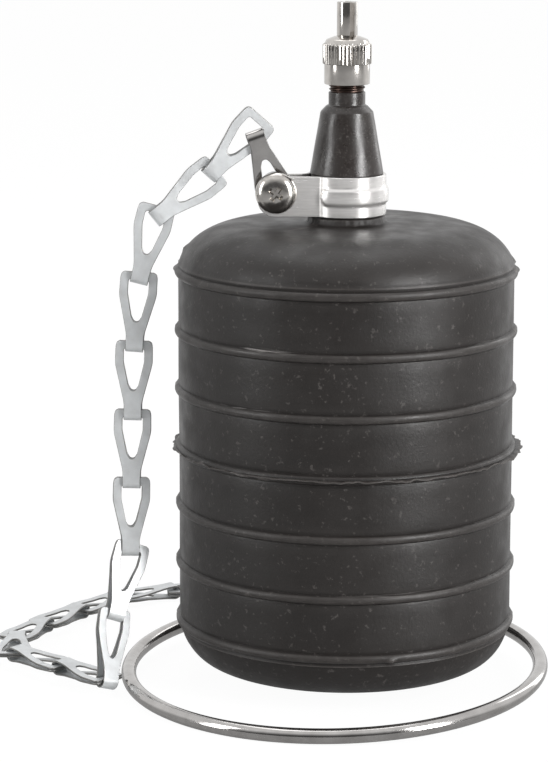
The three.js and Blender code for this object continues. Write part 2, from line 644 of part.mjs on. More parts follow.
function layChain(slack, count) {
  const links = firstLinks();
  const route = chainRoute(links[1].loop, slack);
  const end = route.getPoint(1);
  let at = 0;
  while (links.length < count) {
    const last = links[links.length - 1];
    let bar = last.loop;
    let next = null;
    for (let i = 0; i < 6; i++) {
      const to = links.length === count - 1 ? end : route.getPoint(stepAlong(route, bar, at));
      const along = to.clone().sub(bar).normalize();
      next = linkFrame(bar, along, faceOf(along, (to.z + bar.z) / 2));
      bar = seatedBar(last, next);
    }
    at = stepAlong(route, next.bar, at);
    links.push(next);
  }
  const last = links[links.length - 1];
  return { links, miss: last.bar.distanceTo(end) - LINK_PITCH };
}

// The fewest links that reach the ring, and the slack that brings the last fold onto the ring's wire
function fittedChain() {
  let low = -6;
  let high = 12;
  let count = 3;
  while (layChain(low, count).miss > 0) count++;
  for (let i = 0; i < 30; i++) {
    const mid = (low + high) / 2;
    if (layChain(mid, count).miss < 0) low = mid;
    else high = mid;
  }
  return layChain((low + high) / 2, count).links;
}

function makeChain() {
  const links = fittedChain();
  const common = linkGeometry(LOOP_R);
  const wideLoop = linkGeometry(RING_WIRE_R + LOOSE);
  links.forEach((frame, i) => {
    const last = i === links.length - 1;
    const name = `chain_link_${String(i + 1).padStart(2, "0")}`;
    add(name, last ? wideLoop : common.clone(), "zinc", linkMatrix(frame));
  });
}

function makeRing() {
  const ring = new THREE.TorusGeometry(RING_R, RING_WIRE_R, 8, RING_SIDES);
  const place = new THREE.Matrix4().makeRotationFromEuler(new THREE.Euler(RING_REAR_UP, -RING_RIGHT_UP, 0));
  add("pull_ring", ring, "steel", place.setPosition(RING_X, RING_Y, RING_Z));
}

makeBladder();
makeStem();
makeTube();
makeCore();
makePin();
makeSpring();
makeCap();
makeBand();
makeScrew();
makeChain();
makeRing();

export default part;
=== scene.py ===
import math

import bmesh
import bpy
import numpy as np
from mathutils import Matrix, Vector, noise


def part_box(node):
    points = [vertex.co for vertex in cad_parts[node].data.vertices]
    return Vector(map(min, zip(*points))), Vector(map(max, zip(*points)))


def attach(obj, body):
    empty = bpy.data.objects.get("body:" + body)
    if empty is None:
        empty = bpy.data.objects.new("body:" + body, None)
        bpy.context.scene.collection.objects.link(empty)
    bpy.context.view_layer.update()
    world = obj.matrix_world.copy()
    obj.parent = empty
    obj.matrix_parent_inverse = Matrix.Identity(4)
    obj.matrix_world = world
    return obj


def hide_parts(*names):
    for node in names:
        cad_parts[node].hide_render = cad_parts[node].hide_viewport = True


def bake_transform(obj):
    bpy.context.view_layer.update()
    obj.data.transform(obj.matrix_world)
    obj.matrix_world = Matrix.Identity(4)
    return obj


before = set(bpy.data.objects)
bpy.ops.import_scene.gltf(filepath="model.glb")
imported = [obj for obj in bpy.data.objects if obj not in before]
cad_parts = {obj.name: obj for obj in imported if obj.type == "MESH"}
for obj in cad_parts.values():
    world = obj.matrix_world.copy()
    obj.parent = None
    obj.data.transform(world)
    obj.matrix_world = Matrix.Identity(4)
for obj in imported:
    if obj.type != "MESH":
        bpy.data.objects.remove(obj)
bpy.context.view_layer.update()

MM = 0.001
TURN = 2 * math.pi

# Camera, from the photograph
PHOTO_HEIGHT = 762
FOCAL_PIXELS = 2982.71
CAMERA_PLACE = (0, -0.63170, 0.19119)
CAMERA_PITCH = 0.197604
CAMERA_YAW = 0.0244735
SENSOR = 36

# Light and floor, in metres. The studio is what polished metal sees
AIM = (0, 0, 0.07)
WORLD_LIGHT = 0.5
STUDIO_DIM = 0.1
STUDIO_BACK = 0.6
STUDIO_UP = 0.9
STUDIO_RANGE = (-0.25, 0.4)
FLOOR_HALF = 8
FLOOR_DROP = 0.00005
FLOOR_GLOW = 1.03
FLOOR_WHITE = 0.93
FLOOR_GLOSS = 0.75
FLOOR_DIM = 0.3
FLOOR_RANGE = (-0.06, 0.2)

# Sizes, in millimetres
BODY_R = 36
BODY_WALL = 5
REST_R = 13
REST_RISE = 3.8
ROUND_W = 8
ROUND_H = 10
SHOULDER_W = 14
SHOULDER_H = 10
CROWN = 0.4
RIB_COUNT = 7
RIB_PITCH = 12.7
RIB_PROUD = 0.8
RIB_H = 1.9
RIB_UP = 0.7
RIB_SWEEP = 1.35
GROOVE = 0.1
FLASH_RIB = 3
FLASH_PROUD = 1.35
FLASH_H = 0.5
FLASH_SWEEP = 0.25
NECK_R = 8.3
NECK_FOOT = 1.8
NECK_CLAMPED_R = 7.6
BORE_R = 5
FIT = 0.1
CONE_R0 = 7.85
CONE_R1 = 5.6
CONE_H = 13.2
CONE_CHAMFER_R = 4.35
CONE_CHAMFER_H = 1.3
FLANGE_R = 8.4
SLEEVE_R = 3.9
TUBE_R = 3
THREAD_R = 3.85
THREAD_DEPTH = 0.35
THREAD_PITCH = 0.794
THREAD_LENGTH = 8.1
TUBE_BORE_R = 1.8
CORE_BORE_R = 2.65
CAP_R = 4.85
CAP_WALL = 0.8
KNURL_R = 5.2
KNURL_DEPTH = 0.34
KNURL_TEETH = 36
KNURL_LOW = 4.3
KNURL_H = 4.2
CAP_TOP_R = 4.3
CAP_SHOULDER_H = 1
CAP_CONE_R = 2.6
CAP_CONE_H = 0.65
CAP_ROOF = 2.2
FORK_R = 2.2
FORK_SLOT = 1.1
FORK_TURN = 0.5
STRIP = 0.8
BAND_H = 8.6
BAND_CORNER = 0.42
BAND_STEP = 0.2
BEAD_H = 3.9
BEAD_PROUD = 0.55
BEAD_START = 0.1
EAR_FRONT_Y = -6.3
EAR_GAP = 4.2
EAR_REACH = 18.8
SHANK_R = 1.65
HOLE_R = 1.85
SCREW_X = -14.87
SCREW_UP = 0.6
SCREW_PITCH = 0.8
SCREW_THREAD = 0.28
HEAD_R = 4.4
HEAD_H = 2.5
CROSS_TURN = 0.6
CROSS_HALF_W = 0.65
CROSS_HALF_L = 2.1
CROSS_H = 2.6
CROSS_TAPER = 0.55
NUT_ACROSS = 6.2
SPRING_WIRE_R = 0.15
SPRING_TURNS = 4
SHEET = 0.42
LINK_PITCH = 14.75
LINK_WIDE = 8
LINK_NARROW = 3.8
LINK_BAR = 1.6
LINK_HIP = 4.2
LINK_WAIST = 12.5
WINDOW_W = 4.4
WINDOW_END = 9.8
GAP_WIDE = 0.1
GAP_WINDOW = 0.7
FOLD_WRAP = 1.85
LINK_STEP = 0.15

# Heights and radii that follow
ROUND_TOP = REST_RISE - 0.2 + ROUND_H
RIB_FIRST = ROUND_TOP - RIB_UP
RIB_LAST = RIB_FIRST + (RIB_COUNT - 1) * RIB_PITCH
TOP_EDGE = RIB_LAST + SHOULDER_H
TOP_Z = TOP_EDGE + CROWN
ROOF_Z = TOP_EDGE - BODY_WALL
BAND_Z0 = TOP_Z + NECK_FOOT
BAND_Z1 = BAND_Z0 + BAND_H
NECK_TOP = BAND_Z1 - FIT
BAND_MID_R = NECK_CLAMPED_R + FIT + STRIP / 2
SCREW_Z = BAND_Z0 + SCREW_UP * BAND_H

# Unevenness of the moulding. Each seam has its turn, the swelling of its top rib and its nib's height
WAVE = 0.13
SEAMS = ((0.02, 0.35, 91.2), (math.pi - 0.02, 0.3, 93.7))
SEAM_PROUD = 0.09
NIB_PROUD = 0.45
VENT_TURN = -math.pi / 2 + 0.27
VENT_PROUD = 0.7
RIB_WAVER = 0.08

# Rubbed marks on the ribs, painted pale as the highlight the left lamp puts on them: height, turn, spread and
# strength
SCUFF_HIGHLIGHTS = (
    (RIB_LAST - RIB_PITCH, -2.09, 0.16, 1.0),
    (RIB_LAST - 2 * RIB_PITCH, -2.2, 0.13, 0.7),
    (RIB_LAST - RIB_PITCH, -0.6, 0.2, 0.25),
    (RIB_FIRST + RIB_PITCH, -1.2, 0.3, 0.25),
)

# Colours of the rubbers, with their pale painted highlights, and of worn plating, darkened also as painted
# reflection, as six display digits
RUBBER_DARK = "131110"
RUBBER_LIGHT = "25211f"
RUBBER_DUST = "7c7774"
RUBBER_WORN_HIGHLIGHT = "6f6a67"
RUBBER_SCUFF_HIGHLIGHT = "8d8a88"
STEM_DARK = "1c1917"
STEM_LIGHT = "2e2927"
STEM_DUST = "8a8682"
SEAL_DARK = "141313"
SEAL_LIGHT = "232221"
PLATING_WORN_DARK_REFLECTION = "6a6866"


# Small tools

def node_sizes(name):
    """Lowest and highest corners of a CAD node, in millimetres."""
    low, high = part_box(name)
    return low / MM, high / MM


def add_to_scene(name, data):
    made = bpy.data.objects.new(name, data)
    bpy.context.scene.collection.objects.link(made)
    return made


def settled_mesh(holder):
    """Mesh of an object with its modifiers or its curve's settings applied."""
    graph = bpy.context.evaluated_depsgraph_get()
    return bpy.data.meshes.new_from_object(holder.evaluated_get(graph))


def make_object(name, mesh, body, node_name, materials):
    """Piece that rides on a body and stands for a CAD node."""
    piece = add_to_scene(name, mesh)
    for material in materials:
        mesh.materials.append(material)
    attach(piece, body)
    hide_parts(node_name)


def finish_mesh(mesh, angle=35):
    """Smooth shading that stays sharp where faces meet at more than the angle."""
    mesh.polygons.foreach_set("use_smooth", [True] * len(mesh.polygons))
    mesh.set_sharp_from_angle(angle=math.radians(angle))
    mesh.update()
    return mesh


def to_mesh(name, points, faces, angle=35):
    """Mesh from points in millimetres."""
    mesh = bpy.data.meshes.new(name)
    mesh.from_pydata((np.asarray(points) * MM).tolist(), [], faces)
    b = bmesh.new()
    b.from_mesh(mesh)
    bmesh.ops.remove_doubles(b, verts=b.verts, dist=1e-7)
    bmesh.ops.recalc_face_normals(b, faces=b.faces)
    b.to_mesh(mesh)
    b.free()
    return finish_mesh(mesh, angle)


def tube_faces(rows, sides):
    """Faces round a tube of rows of points, with one face over each end."""
    faces = []
    for i in range(rows - 1):
        for j in range(sides):
            n = (j + 1) % sides
            faces.append((i * sides + j, i * sides + n, (i + 1) * sides + n, (i + 1) * sides + j))
    return faces + [tuple(range(sides)), tuple((rows - 1) * sides + j for j in range(sides))]


def revolve(name, profile, sides, shape=None, closed=False, angle=35):
    """Solid of revolution about Z from (radius, height) pairs.

    shape takes the grid's radii, heights and turns and gives bent radii and heights.
    closed joins the last pair to the first.
    """
    profile = np.asarray(profile, float)
    turns = np.arange(sides) * TURN / sides
    radius = np.repeat(profile[:, :1], sides, axis=1)
    height = np.repeat(profile[:, 1:], sides, axis=1)
    if shape:
        radius, height = shape(radius, height, turns[None, :])
    grid = np.stack([radius * np.cos(turns), radius * np.sin(turns), height], axis=-1)
    rows = len(profile)
    faces = []
    for i in range(rows if closed else rows - 1):
        k = (i + 1) % rows
        for j in range(sides):
            n = (j + 1) % sides
            faces.append((i * sides + j, i * sides + n, k * sides + n, k * sides + j))
    return to_mesh(name, grid.reshape(-1, 3), faces, angle)


def fillet(points, radius, steps=4):
    """Rounds the corners of an open line of (x, y) pairs."""
    points = [Vector(p) for p in points]
    out = [points[0]]
    for before, here, after in zip(points, points[1:], points[2:]):
        reach = min(radius, 0.45 * (before - here).length, 0.45 * (after - here).length)
        a = here + (before - here).normalized() * reach
        b = here + (after - here).normalized() * reach
        for i in range(steps + 1):
            t = i / steps
            out.append(a * (1 - t) ** 2 + here * 2 * t * (1 - t) + b * t ** 2)
    return [tuple(p) for p in out + [points[-1]]]


def ellipse(centre_r, centre_z, across, up, a0, a1, steps):
    return [(centre_r + across * math.cos(a0 + (a1 - a0) * i / steps),
             centre_z + up * math.sin(a0 + (a1 - a0) * i / steps)) for i in range(steps + 1)]


def ripple(turns, seed, octaves=((3, 0.5), (7, 0.3), (13, 0.2))):
    """Smooth uneven value between about -1 and 1, all the way round."""
    total = 0
    for waves, weight in octaves:
        total = total + weight * np.sin(waves * turns + seed * 1.7 + waves)
    return total


def rough(turns, seed, scale):
    """Sharper uneven value round the turn, from Blender's noise."""
    return np.array([noise.noise(Vector((math.cos(t) * scale, math.sin(t) * scale, seed))) for t in turns])


def cut(mesh, tool):
    """Mesh with the tool's shape taken out of it."""
    work = add_to_scene("work", mesh)
    cutter = add_to_scene("cutter", tool)
    change = work.modifiers.new("cut", "BOOLEAN")
    change.operation = "DIFFERENCE"
    change.solver = "EXACT"
    change.object = cutter
    made = settled_mesh(work)
    made.name = mesh.name
    bpy.data.objects.remove(work)
    bpy.data.objects.remove(cutter)
    return finish_mesh(made)


def joined(name, meshes):
    """One mesh from several."""
    b = bmesh.new()
    for m in meshes:
        b.from_mesh(m)
    mesh = bpy.data.meshes.new(name)
    b.to_mesh(mesh)
    b.free()
    return finish_mesh(mesh)


def weigh_normals(mesh):
    """Normals that follow the larger faces, so flat sheet shades flat right up to its rounded edge."""
    holder = add_to_scene(mesh.name, mesh)
    change = holder.modifiers.new("weigh", "WEIGHTED_NORMAL")
    change.keep_sharp = True
    made = settled_mesh(holder)
    bpy.data.objects.remove(holder)
    return made


def moved(mesh, matrix):
    mesh.transform(matrix)
    mesh.update()
    return mesh


def plate(name, outlines, thick, bevel):
    """Flat plate with rounded edges, in millimetres, from closed outlines. The later ones are holes."""
    curve = bpy.data.curves.new(name, "CURVE")
    curve.dimensions = "2D"
    curve.fill_mode = "BOTH"
    curve.extrude = thick / 2 - bevel
    curve.bevel_depth = bevel
    curve.bevel_resolution = 1
    curve.offset = -bevel
    for outline in outlines:
        spline = curve.splines.new("POLY")
        spline.points.add(len(outline) - 1)
        for point, (x, y) in zip(spline.points, outline):
            point.co = (x, y, 0, 1)
        spline.use_cyclic_u = True
    holder = add_to_scene(name, curve)
    mesh = settled_mesh(holder)
    bpy.data.objects.remove(holder)
    b = bmesh.new()
    b.from_mesh(mesh)
    bmesh.ops.remove_doubles(b, verts=b.verts, dist=1e-4)
    b.to_mesh(mesh)
    b.free()
    return mesh


# Camera, light and floor

def make_camera():
    data = bpy.data.cameras.new("camera")
    data.sensor_fit = "VERTICAL"
    data.sensor_height = SENSOR
    data.lens = FOCAL_PIXELS / PHOTO_HEIGHT * SENSOR
    camera = add_to_scene("camera", data)
    camera.location = CAMERA_PLACE
    camera.rotation_euler = (math.pi / 2 - CAMERA_PITCH, 0, CAMERA_YAW)
    bpy.context.scene.camera = camera


def add_softbox(name, turn, height, distance, size, power):
    """Area light aimed at the object, at a turn round it from the camera's side."""
    data = bpy.data.lights.new(name, "AREA")
    data.shape = "RECTANGLE"
    data.size, data.size_y = size
    data.energy = power
    lamp = add_to_scene(name, data)
    a = math.radians(turn)
    place = Vector((math.sin(a) * distance, -math.cos(a) * distance, height))
    lamp.location = place
    lamp.rotation_euler = (Vector(AIM) - place).to_track_quat("-Z", "Y").to_euler()


def make_lights():
    add_softbox("right_strip", turn=50, height=0.30, distance=0.85, size=(0.24, 0.75), power=10)
    add_softbox("left_strip", turn=-64, height=0.28, distance=0.85, size=(0.20, 0.7), power=3.2)
    add_softbox("overhead", turn=190, height=0.95, distance=0.3, size=(0.6, 0.6), power=2)
    add_softbox("rear_right", turn=135, height=0.35, distance=0.8, size=(0.2, 0.7), power=1)


def studio_share(nodes, links, value, limits, dim):
    """Brightness that polished metal sees: dim at the value's lower limit, white at its upper one."""
    node = nodes.new("ShaderNodeMapRange")
    node.inputs["From Min"].default_value = limits[0]
    node.inputs["From Max"].default_value = limits[1]
    node.inputs["To Min"].default_value = dim
    links.new(value, node.inputs["Value"])
    return node.outputs[0]


def mix_shaders(nodes, links, share, first, second):
    mix = nodes.new("ShaderNodeMixShader")
    links.new(share, mix.inputs["Fac"])
    links.new(first, mix.inputs[1])
    links.new(second, mix.inputs[2])
    return mix.outputs[0]


def make_world():
    """Plain light on the object, white for the camera, and for metal a studio that is dim in front."""
    world = bpy.data.worlds.new("studio")
    bpy.context.scene.world = world
    world.use_nodes = True
    tree = world.node_tree
    nodes, links = tree.nodes, tree.links
    nodes.clear()
    parts = []
    for strength in (WORLD_LIGHT, 1, 1):
        part = nodes.new("ShaderNodeBackground")
        part.inputs["Color"].default_value = (1, 1, 1, 1)
        part.inputs["Strength"].default_value = strength
        parts.append(part)
    light, studio, seen = parts
    split = nodes.new("ShaderNodeSeparateXYZ")
    links.new(nodes.new("ShaderNodeTexCoord").outputs["Generated"], split.inputs[0])
    back = add_math(tree, "MULTIPLY", split.outputs["Y"], STUDIO_BACK)
    upward = add_math(tree, "MULTIPLY", split.outputs["Z"], STUDIO_UP)
    behind = add_math(tree, "ADD", back, upward)
    links.new(studio_share(nodes, links, behind, STUDIO_RANGE, STUDIO_DIM), studio.inputs["Strength"])
    path = nodes.new("ShaderNodeLightPath")
    out = mix_shaders(nodes, links, path.outputs["Is Glossy Ray"], light.outputs[0], studio.outputs[0])
    out = mix_shaders(nodes, links, path.outputs["Is Camera Ray"], out, seen.outputs[0])
    links.new(out, nodes.new("ShaderNodeOutputWorld").inputs["Surface"])


def make_floor():
    """Pale floor that takes the object's shadow, and that metal sees as part of the studio."""
    h = FLOOR_HALF
    mesh = bpy.data.meshes.new("floor")
    mesh.from_pydata([(-h, -h, 0), (h, -h, 0), (h, h, 0), (-h, h, 0)], [], [(0, 1, 2, 3)])
    floor = add_to_scene("floor", mesh)
    floor.location.z = -FLOOR_DROP
    material, nodes, links, shader = new_material("floor_white")
    set_values(shader, {"Base Color": (0.86, 0.86, 0.86, 1), "Roughness": 0.9, "Specular IOR Level": 0})
    glow = nodes.new("ShaderNodeEmission")
    glow.inputs["Color"].default_value = (1, 1, 1, 1)
    glow.inputs["Strength"].default_value = FLOOR_GLOW
    tree = material.node_tree
    path = nodes.new("ShaderNodeLightPath")
    split = nodes.new("ShaderNodeSeparateXYZ")
    links.new(nodes.new("ShaderNodeNewGeometry").outputs["Position"], split.inputs[0])
    studio = nodes.new("ShaderNodeEmission")
    level = studio_share(nodes, links, split.outputs["Y"], FLOOR_RANGE, FLOOR_DIM)
    links.new(level, studio.inputs["Strength"])
    out = shader.outputs[0]
    for ray, share, part in (("Is Glossy Ray", FLOOR_GLOSS, studio), ("Is Camera Ray", FLOOR_WHITE, glow)):
        seen = add_math(tree, "MULTIPLY", path.outputs[ray], share)
        out = mix_shaders(nodes, links, seen, out, part.outputs[0])
    links.new(out, nodes["Material Output"].inputs["Surface"])
    mesh.materials.append(material)


# Materials

def new_material(name):
    material = bpy.data.materials.new(name)
    material.use_nodes = True
    nodes, links = material.node_tree.nodes, material.node_tree.links
    return material, nodes, links, nodes["Principled BSDF"]


def set_values(shader, values):
    for socket, value in values.items():
        shader.inputs[socket].default_value = value


def new_group(name, inputs, outputs):
    """Node group with named sockets. inputs are (name, default), outputs are names."""
    tree = bpy.data.node_groups.new(name, "ShaderNodeTree")
    for label, default in inputs:
        kind = "NodeSocketColor" if isinstance(default, tuple) else "NodeSocketFloat"
        socket = tree.interface.new_socket(name=label, in_out="INPUT", socket_type=kind)
        socket.default_value = default
    for label in outputs:
        kind = "NodeSocketColor" if "Color" in label else "NodeSocketFloat"
        tree.interface.new_socket(name=label, in_out="OUTPUT", socket_type=kind)
    source = tree.nodes.new("NodeGroupInput")
    target = tree.nodes.new("NodeGroupOutput")
    return tree, source, target


def add_math(tree, operation, *values):
    node = tree.nodes.new("ShaderNodeMath")
    node.operation = operation
    for socket, value in zip(node.inputs, values):
        if isinstance(value, bpy.types.NodeSocket):
            tree.links.new(value, socket)
        else:
            socket.default_value = value
    return node.outputs[0]


def add_noise(tree, scale, detail=4, rough_share=0.55, stretch=None):
    """Noise over the object's own coordinates. stretch squeezes it along an axis."""
    place = tree.nodes.new("ShaderNodeTexCoord").outputs["Object"]
    if stretch:
        mapping = tree.nodes.new("ShaderNodeMapping")
        mapping.inputs["Scale"].default_value = stretch
        tree.links.new(place, mapping.inputs["Vector"])
        place = mapping.outputs["Vector"]
    node = tree.nodes.new("ShaderNodeTexNoise")
    tree.links.new(place, node.inputs["Vector"])
    if isinstance(scale, bpy.types.NodeSocket):
        tree.links.new(scale, node.inputs["Scale"])
    else:
        node.inputs["Scale"].default_value = scale
    node.inputs["Detail"].default_value = detail
    node.inputs["Roughness"].default_value = rough_share
    return node.outputs["Fac"]


def add_mix(tree, share, first, second):
    node = tree.nodes.new("ShaderNodeMix")
    node.data_type = "RGBA"
    for socket, value in (("Factor", share), ("A", first), ("B", second)):
        target = [s for s in node.inputs if s.name == socket and s.enabled][0]
        if isinstance(value, bpy.types.NodeSocket):
            tree.links.new(value, target)
        else:
            target.default_value = value
    return [s for s in node.outputs if s.enabled][0]


def make_grain_group():
    """Fine surface grain: a height, and a mask that runs from 0 to 1."""
    tree, source, target = new_group(
        "fine_grain", [("Scale", 2500.0), ("Coarse Share", 0.4)], ["Height", "Mask"])
    fine = add_noise(tree, source.outputs["Scale"], 3, 0.6)
    coarse = add_noise(tree, add_math(tree, "MULTIPLY", source.outputs["Scale"], 0.12), 3, 0.5)
    share = add_math(tree, "MULTIPLY", coarse, source.outputs["Coarse Share"])
    height = add_math(tree, "ADD", fine, share)
    tree.links.new(height, target.inputs["Height"])
    mask = tree.nodes.new("ShaderNodeMapRange")
    mask.inputs["From Min"].default_value = 0.35
    mask.inputs["From Max"].default_value = 0.65
    tree.links.new(coarse, mask.inputs["Value"])
    tree.links.new(mask.outputs[0], target.inputs["Mask"])
    return tree


def make_dust_group():
    """Scattered pale specks and smears: a mask of how much lies on the surface."""
    tree, source, target = new_group(
        "dust",
        [("Speck Scale", 1500.0), ("Smear Scale", 90.0), ("Threshold", 0.62), ("Amount", 0.5)],
        ["Mask"])
    specks = add_noise(tree, source.outputs["Speck Scale"], 2, 0.7)
    smears = add_noise(tree, source.outputs["Smear Scale"], 5, 0.65)
    over = add_math(tree, "SUBTRACT", specks, source.outputs["Threshold"])
    spread = add_math(tree, "MULTIPLY", over, 12.0)
    limited = tree.nodes.new("ShaderNodeClamp")
    tree.links.new(spread, limited.inputs["Value"])
    held = add_math(tree, "MULTIPLY", limited.outputs[0], smears)
    mask = add_math(tree, "MULTIPLY", held, source.outputs["Amount"])
    tree.links.new(mask, target.inputs["Mask"])
    return tree


def make_edge_group():
    """Wear on convex edges, together with painted edge highlight and painted dark edge reflection: a mask
    from the mesh's own pointiness, broken up by noise.
    """
    tree, source, target = new_group(
        "edge_wear_and_painted_light", [("Low", 0.51), ("High", 0.56), ("Breakup Scale", 400.0)], ["Mask"])
    point = tree.nodes.new("ShaderNodeNewGeometry").outputs["Pointiness"]
    worn_and_painted_edge = tree.nodes.new("ShaderNodeMapRange")
    tree.links.new(point, worn_and_painted_edge.inputs["Value"])
    tree.links.new(source.outputs["Low"], worn_and_painted_edge.inputs["From Min"])
    tree.links.new(source.outputs["High"], worn_and_painted_edge.inputs["From Max"])
    breakup = add_noise(tree, source.outputs["Breakup Scale"], 3, 0.6)
    strong = add_math(tree, "MULTIPLY", worn_and_painted_edge.outputs[0], breakup)
    tree.links.new(strong, target.inputs["Mask"])
    return tree


# Node groups by name, made once in main
GROUPS = {}


def use_group(nodes, name, **values):
    """A shared node group with this material's own values. A socket's space is written as _."""
    node = nodes.new("ShaderNodeGroup")
    node.node_tree = GROUPS[name]
    for socket, value in values.items():
        node.inputs[socket.replace("_", " ")].default_value = value
    return node


def add_bump(nodes, links, shader, height, strength, distance):
    bump = nodes.new("ShaderNodeBump")
    bump.inputs["Strength"].default_value = strength
    bump.inputs["Distance"].default_value = distance
    links.new(height, bump.inputs["Height"])
    links.new(bump.outputs[0], shader.inputs["Normal"])


def map_range(nodes, links, value, low, high):
    node = nodes.new("ShaderNodeMapRange")
    node.inputs["To Min"].default_value = low
    node.inputs["To Max"].default_value = high
    links.new(value, node.inputs["Value"])
    return node.outputs[0]


def srgb(text):
    """Linear colour from the six digits of a display colour."""
    parts = [int(text[i:i + 2], 16) / 255 for i in (0, 2, 4)]
    return tuple(p / 12.92 if p < 0.04045 else ((p + 0.055) / 1.055) ** 2.4 for p in parts) + (1,)


def make_bladder_rubber():
    """Matt grey rubber, mottled and dusty, paler on its edges from wear and painted highlight, with shiny
    scratches where it is rubbed, painted pale as highlight.
    """
    material, nodes, links, shader = new_material("bladder_rubber")
    tree = material.node_tree
    set_values(shader, {"Specular IOR Level": 0.4})
    tone = add_noise(tree, 45, 4, 0.6)
    bands = add_noise(tree, 30, 4, 0.6, stretch=(1, 1, 9))
    half_tone = add_math(tree, "MULTIPLY", tone, 0.5)
    half_bands = add_math(tree, "MULTIPLY", bands, 0.5)
    blend = add_math(tree, "ADD", half_tone, half_bands)
    base = add_mix(tree, blend, srgb(RUBBER_DARK), srgb(RUBBER_LIGHT))
    dust = use_group(nodes, "dust", Speck_Scale=800.0, Smear_Scale=60.0, Threshold=0.62, Amount=0.3)
    dusty = add_mix(tree, dust.outputs["Mask"], base, srgb(RUBBER_DUST))
    # Paler convex edges: wear, and painted highlight where the rib tops catch the light
    edge = use_group(nodes, "edge_wear_and_painted_light", Low=0.505, High=0.56, Breakup_Scale=350.0)
    worn_and_painted_edge = add_mix(tree, add_math(tree, "MULTIPLY", edge.outputs["Mask"], 0.55), dusty, srgb(RUBBER_WORN_HIGHLIGHT))
    # Rubbed hairlines on the ribs: painted pale as the left lamp's highlight, and made less rough
    scuff_highlight = nodes.new("ShaderNodeAttribute")
    scuff_highlight.attribute_name = "scuff_highlight"
    lines = add_noise(tree, 420, 2, 0.6, stretch=(0.25, 0.25, 9))
    thin = add_math(tree, "MULTIPLY", add_math(tree, "SUBTRACT", lines, 0.5), 7.0)
    rubbed_hairline_sheen = nodes.new("ShaderNodeClamp")
    links.new(thin, rubbed_hairline_sheen.inputs["Value"])
    shine = add_math(tree, "MULTIPLY", scuff_highlight.outputs["Fac"], rubbed_hairline_sheen.outputs[0])
    final = add_mix(tree, add_math(tree, "MULTIPLY", shine, 1.2), worn_and_painted_edge, srgb(RUBBER_SCUFF_HIGHLIGHT))
    links.new(final, shader.inputs["Base Color"])
    grain = use_group(nodes, "fine_grain", Scale=1500.0, Coarse_Share=0.7)
    soft = map_range(nodes, links, grain.outputs["Mask"], 0.38, 0.52)
    roughness = add_math(tree, "SUBTRACT", soft, add_math(tree, "MULTIPLY", shine, 0.35))
    links.new(roughness, shader.inputs["Roughness"])
    add_bump(nodes, links, shader, grain.outputs["Height"], 0.35, 0.00012)
    return material


def make_stem_rubber():
    """Darker and glossier rubber with fine dust."""
    material, nodes, links, shader = new_material("stem_rubber")
    tree = material.node_tree
    set_values(shader, {"Specular IOR Level": 0.55})
    dust = use_group(nodes, "dust", Speck_Scale=2600.0, Smear_Scale=260.0, Threshold=0.58, Amount=0.4)
    tone = add_mix(tree, add_noise(tree, 160, 3), srgb(STEM_DARK), srgb(STEM_LIGHT))
    links.new(add_mix(tree, dust.outputs["Mask"], tone, srgb(STEM_DUST)), shader.inputs["Base Color"])
    grain = use_group(nodes, "fine_grain", Scale=2600.0, Coarse_Share=0.5)
    links.new(map_range(nodes, links, grain.outputs["Mask"], 0.24, 0.34), shader.inputs["Roughness"])
    add_bump(nodes, links, shader, grain.outputs["Height"], 0.3, 0.00008)
    return material


def make_metal(name, dark, light, rough_low, rough_high, scale,
               stretch=None, bump=0.1, edge=0.0, metallic=1.0):
    """Bare or plated metal: a tone that varies, uneven polish and fine marks."""
    material, nodes, links, shader = new_material(name)
    tree = material.node_tree
    set_values(shader, {"Metallic": metallic})
    tone = add_noise(tree, scale, 4, 0.6, stretch)
    base = add_mix(tree, tone, srgb(dark), srgb(light))
    # Convex edges darkened toward worn plating: wear, and painted dark reflection
    if edge:
        worn_and_painted_edge = use_group(nodes, "edge_wear_and_painted_light", Low=0.52, High=0.62, Breakup_Scale=scale * 2)
        base = add_mix(tree, add_math(tree, "MULTIPLY", worn_and_painted_edge.outputs["Mask"], edge), base, srgb(PLATING_WORN_DARK_REFLECTION))
    links.new(base, shader.inputs["Base Color"])
    grain = use_group(nodes, "fine_grain", Scale=scale * 5.0, Coarse_Share=0.5)
    links.new(map_range(nodes, links, tone, rough_low, rough_high), shader.inputs["Roughness"])
    add_bump(nodes, links, shader, grain.outputs["Height"], bump, 0.00005)
    return material


def make_seal_rubber():
    material, _, links, shader = new_material("seal_rubber")
    tree = material.node_tree
    tone = add_noise(tree, 300, 3)
    links.new(add_mix(tree, tone, srgb(SEAL_DARK), srgb(SEAL_LIGHT)), shader.inputs["Base Color"])
    set_values(shader, {"Roughness": 0.6})
    return material


# Bladder

def rib_profile(z, flash):
    """Bead with a shallow groove above and below it. The moulded fin stands out of the middle one."""
    half = RIB_H / 2
    foot_r = BODY_R - GROOVE
    proud = RIB_PROUD + GROOVE
    groove = [(BODY_R, half + 0.75), (BODY_R - GROOVE / 2, half + 0.4), (foot_r, half + 0.1)]
    below = [(r, z - up) for r, up in groove]
    above = [(r, z + up) for r, up in reversed(groove)]
    if not flash:
        return below + ellipse(foot_r, z, proud, half, -RIB_SWEEP, RIB_SWEEP, 9) + above
    far = BODY_R + RIB_PROUD
    fin = [(far + 0.1, FLASH_H / 2), (far + FLASH_PROUD * 0.5, FLASH_H / 2.3),
           (far + FLASH_PROUD, FLASH_H / 4)]
    lower = ellipse(foot_r, z, proud, half, -RIB_SWEEP, -FLASH_SWEEP, 4)
    upper = ellipse(foot_r, z, proud, half, FLASH_SWEEP, RIB_SWEEP, 4)
    lower += [(r, z - up) for r, up in fin]
    upper = [(r, z + up) for r, up in reversed(fin)] + upper
    return below + lower + upper + above


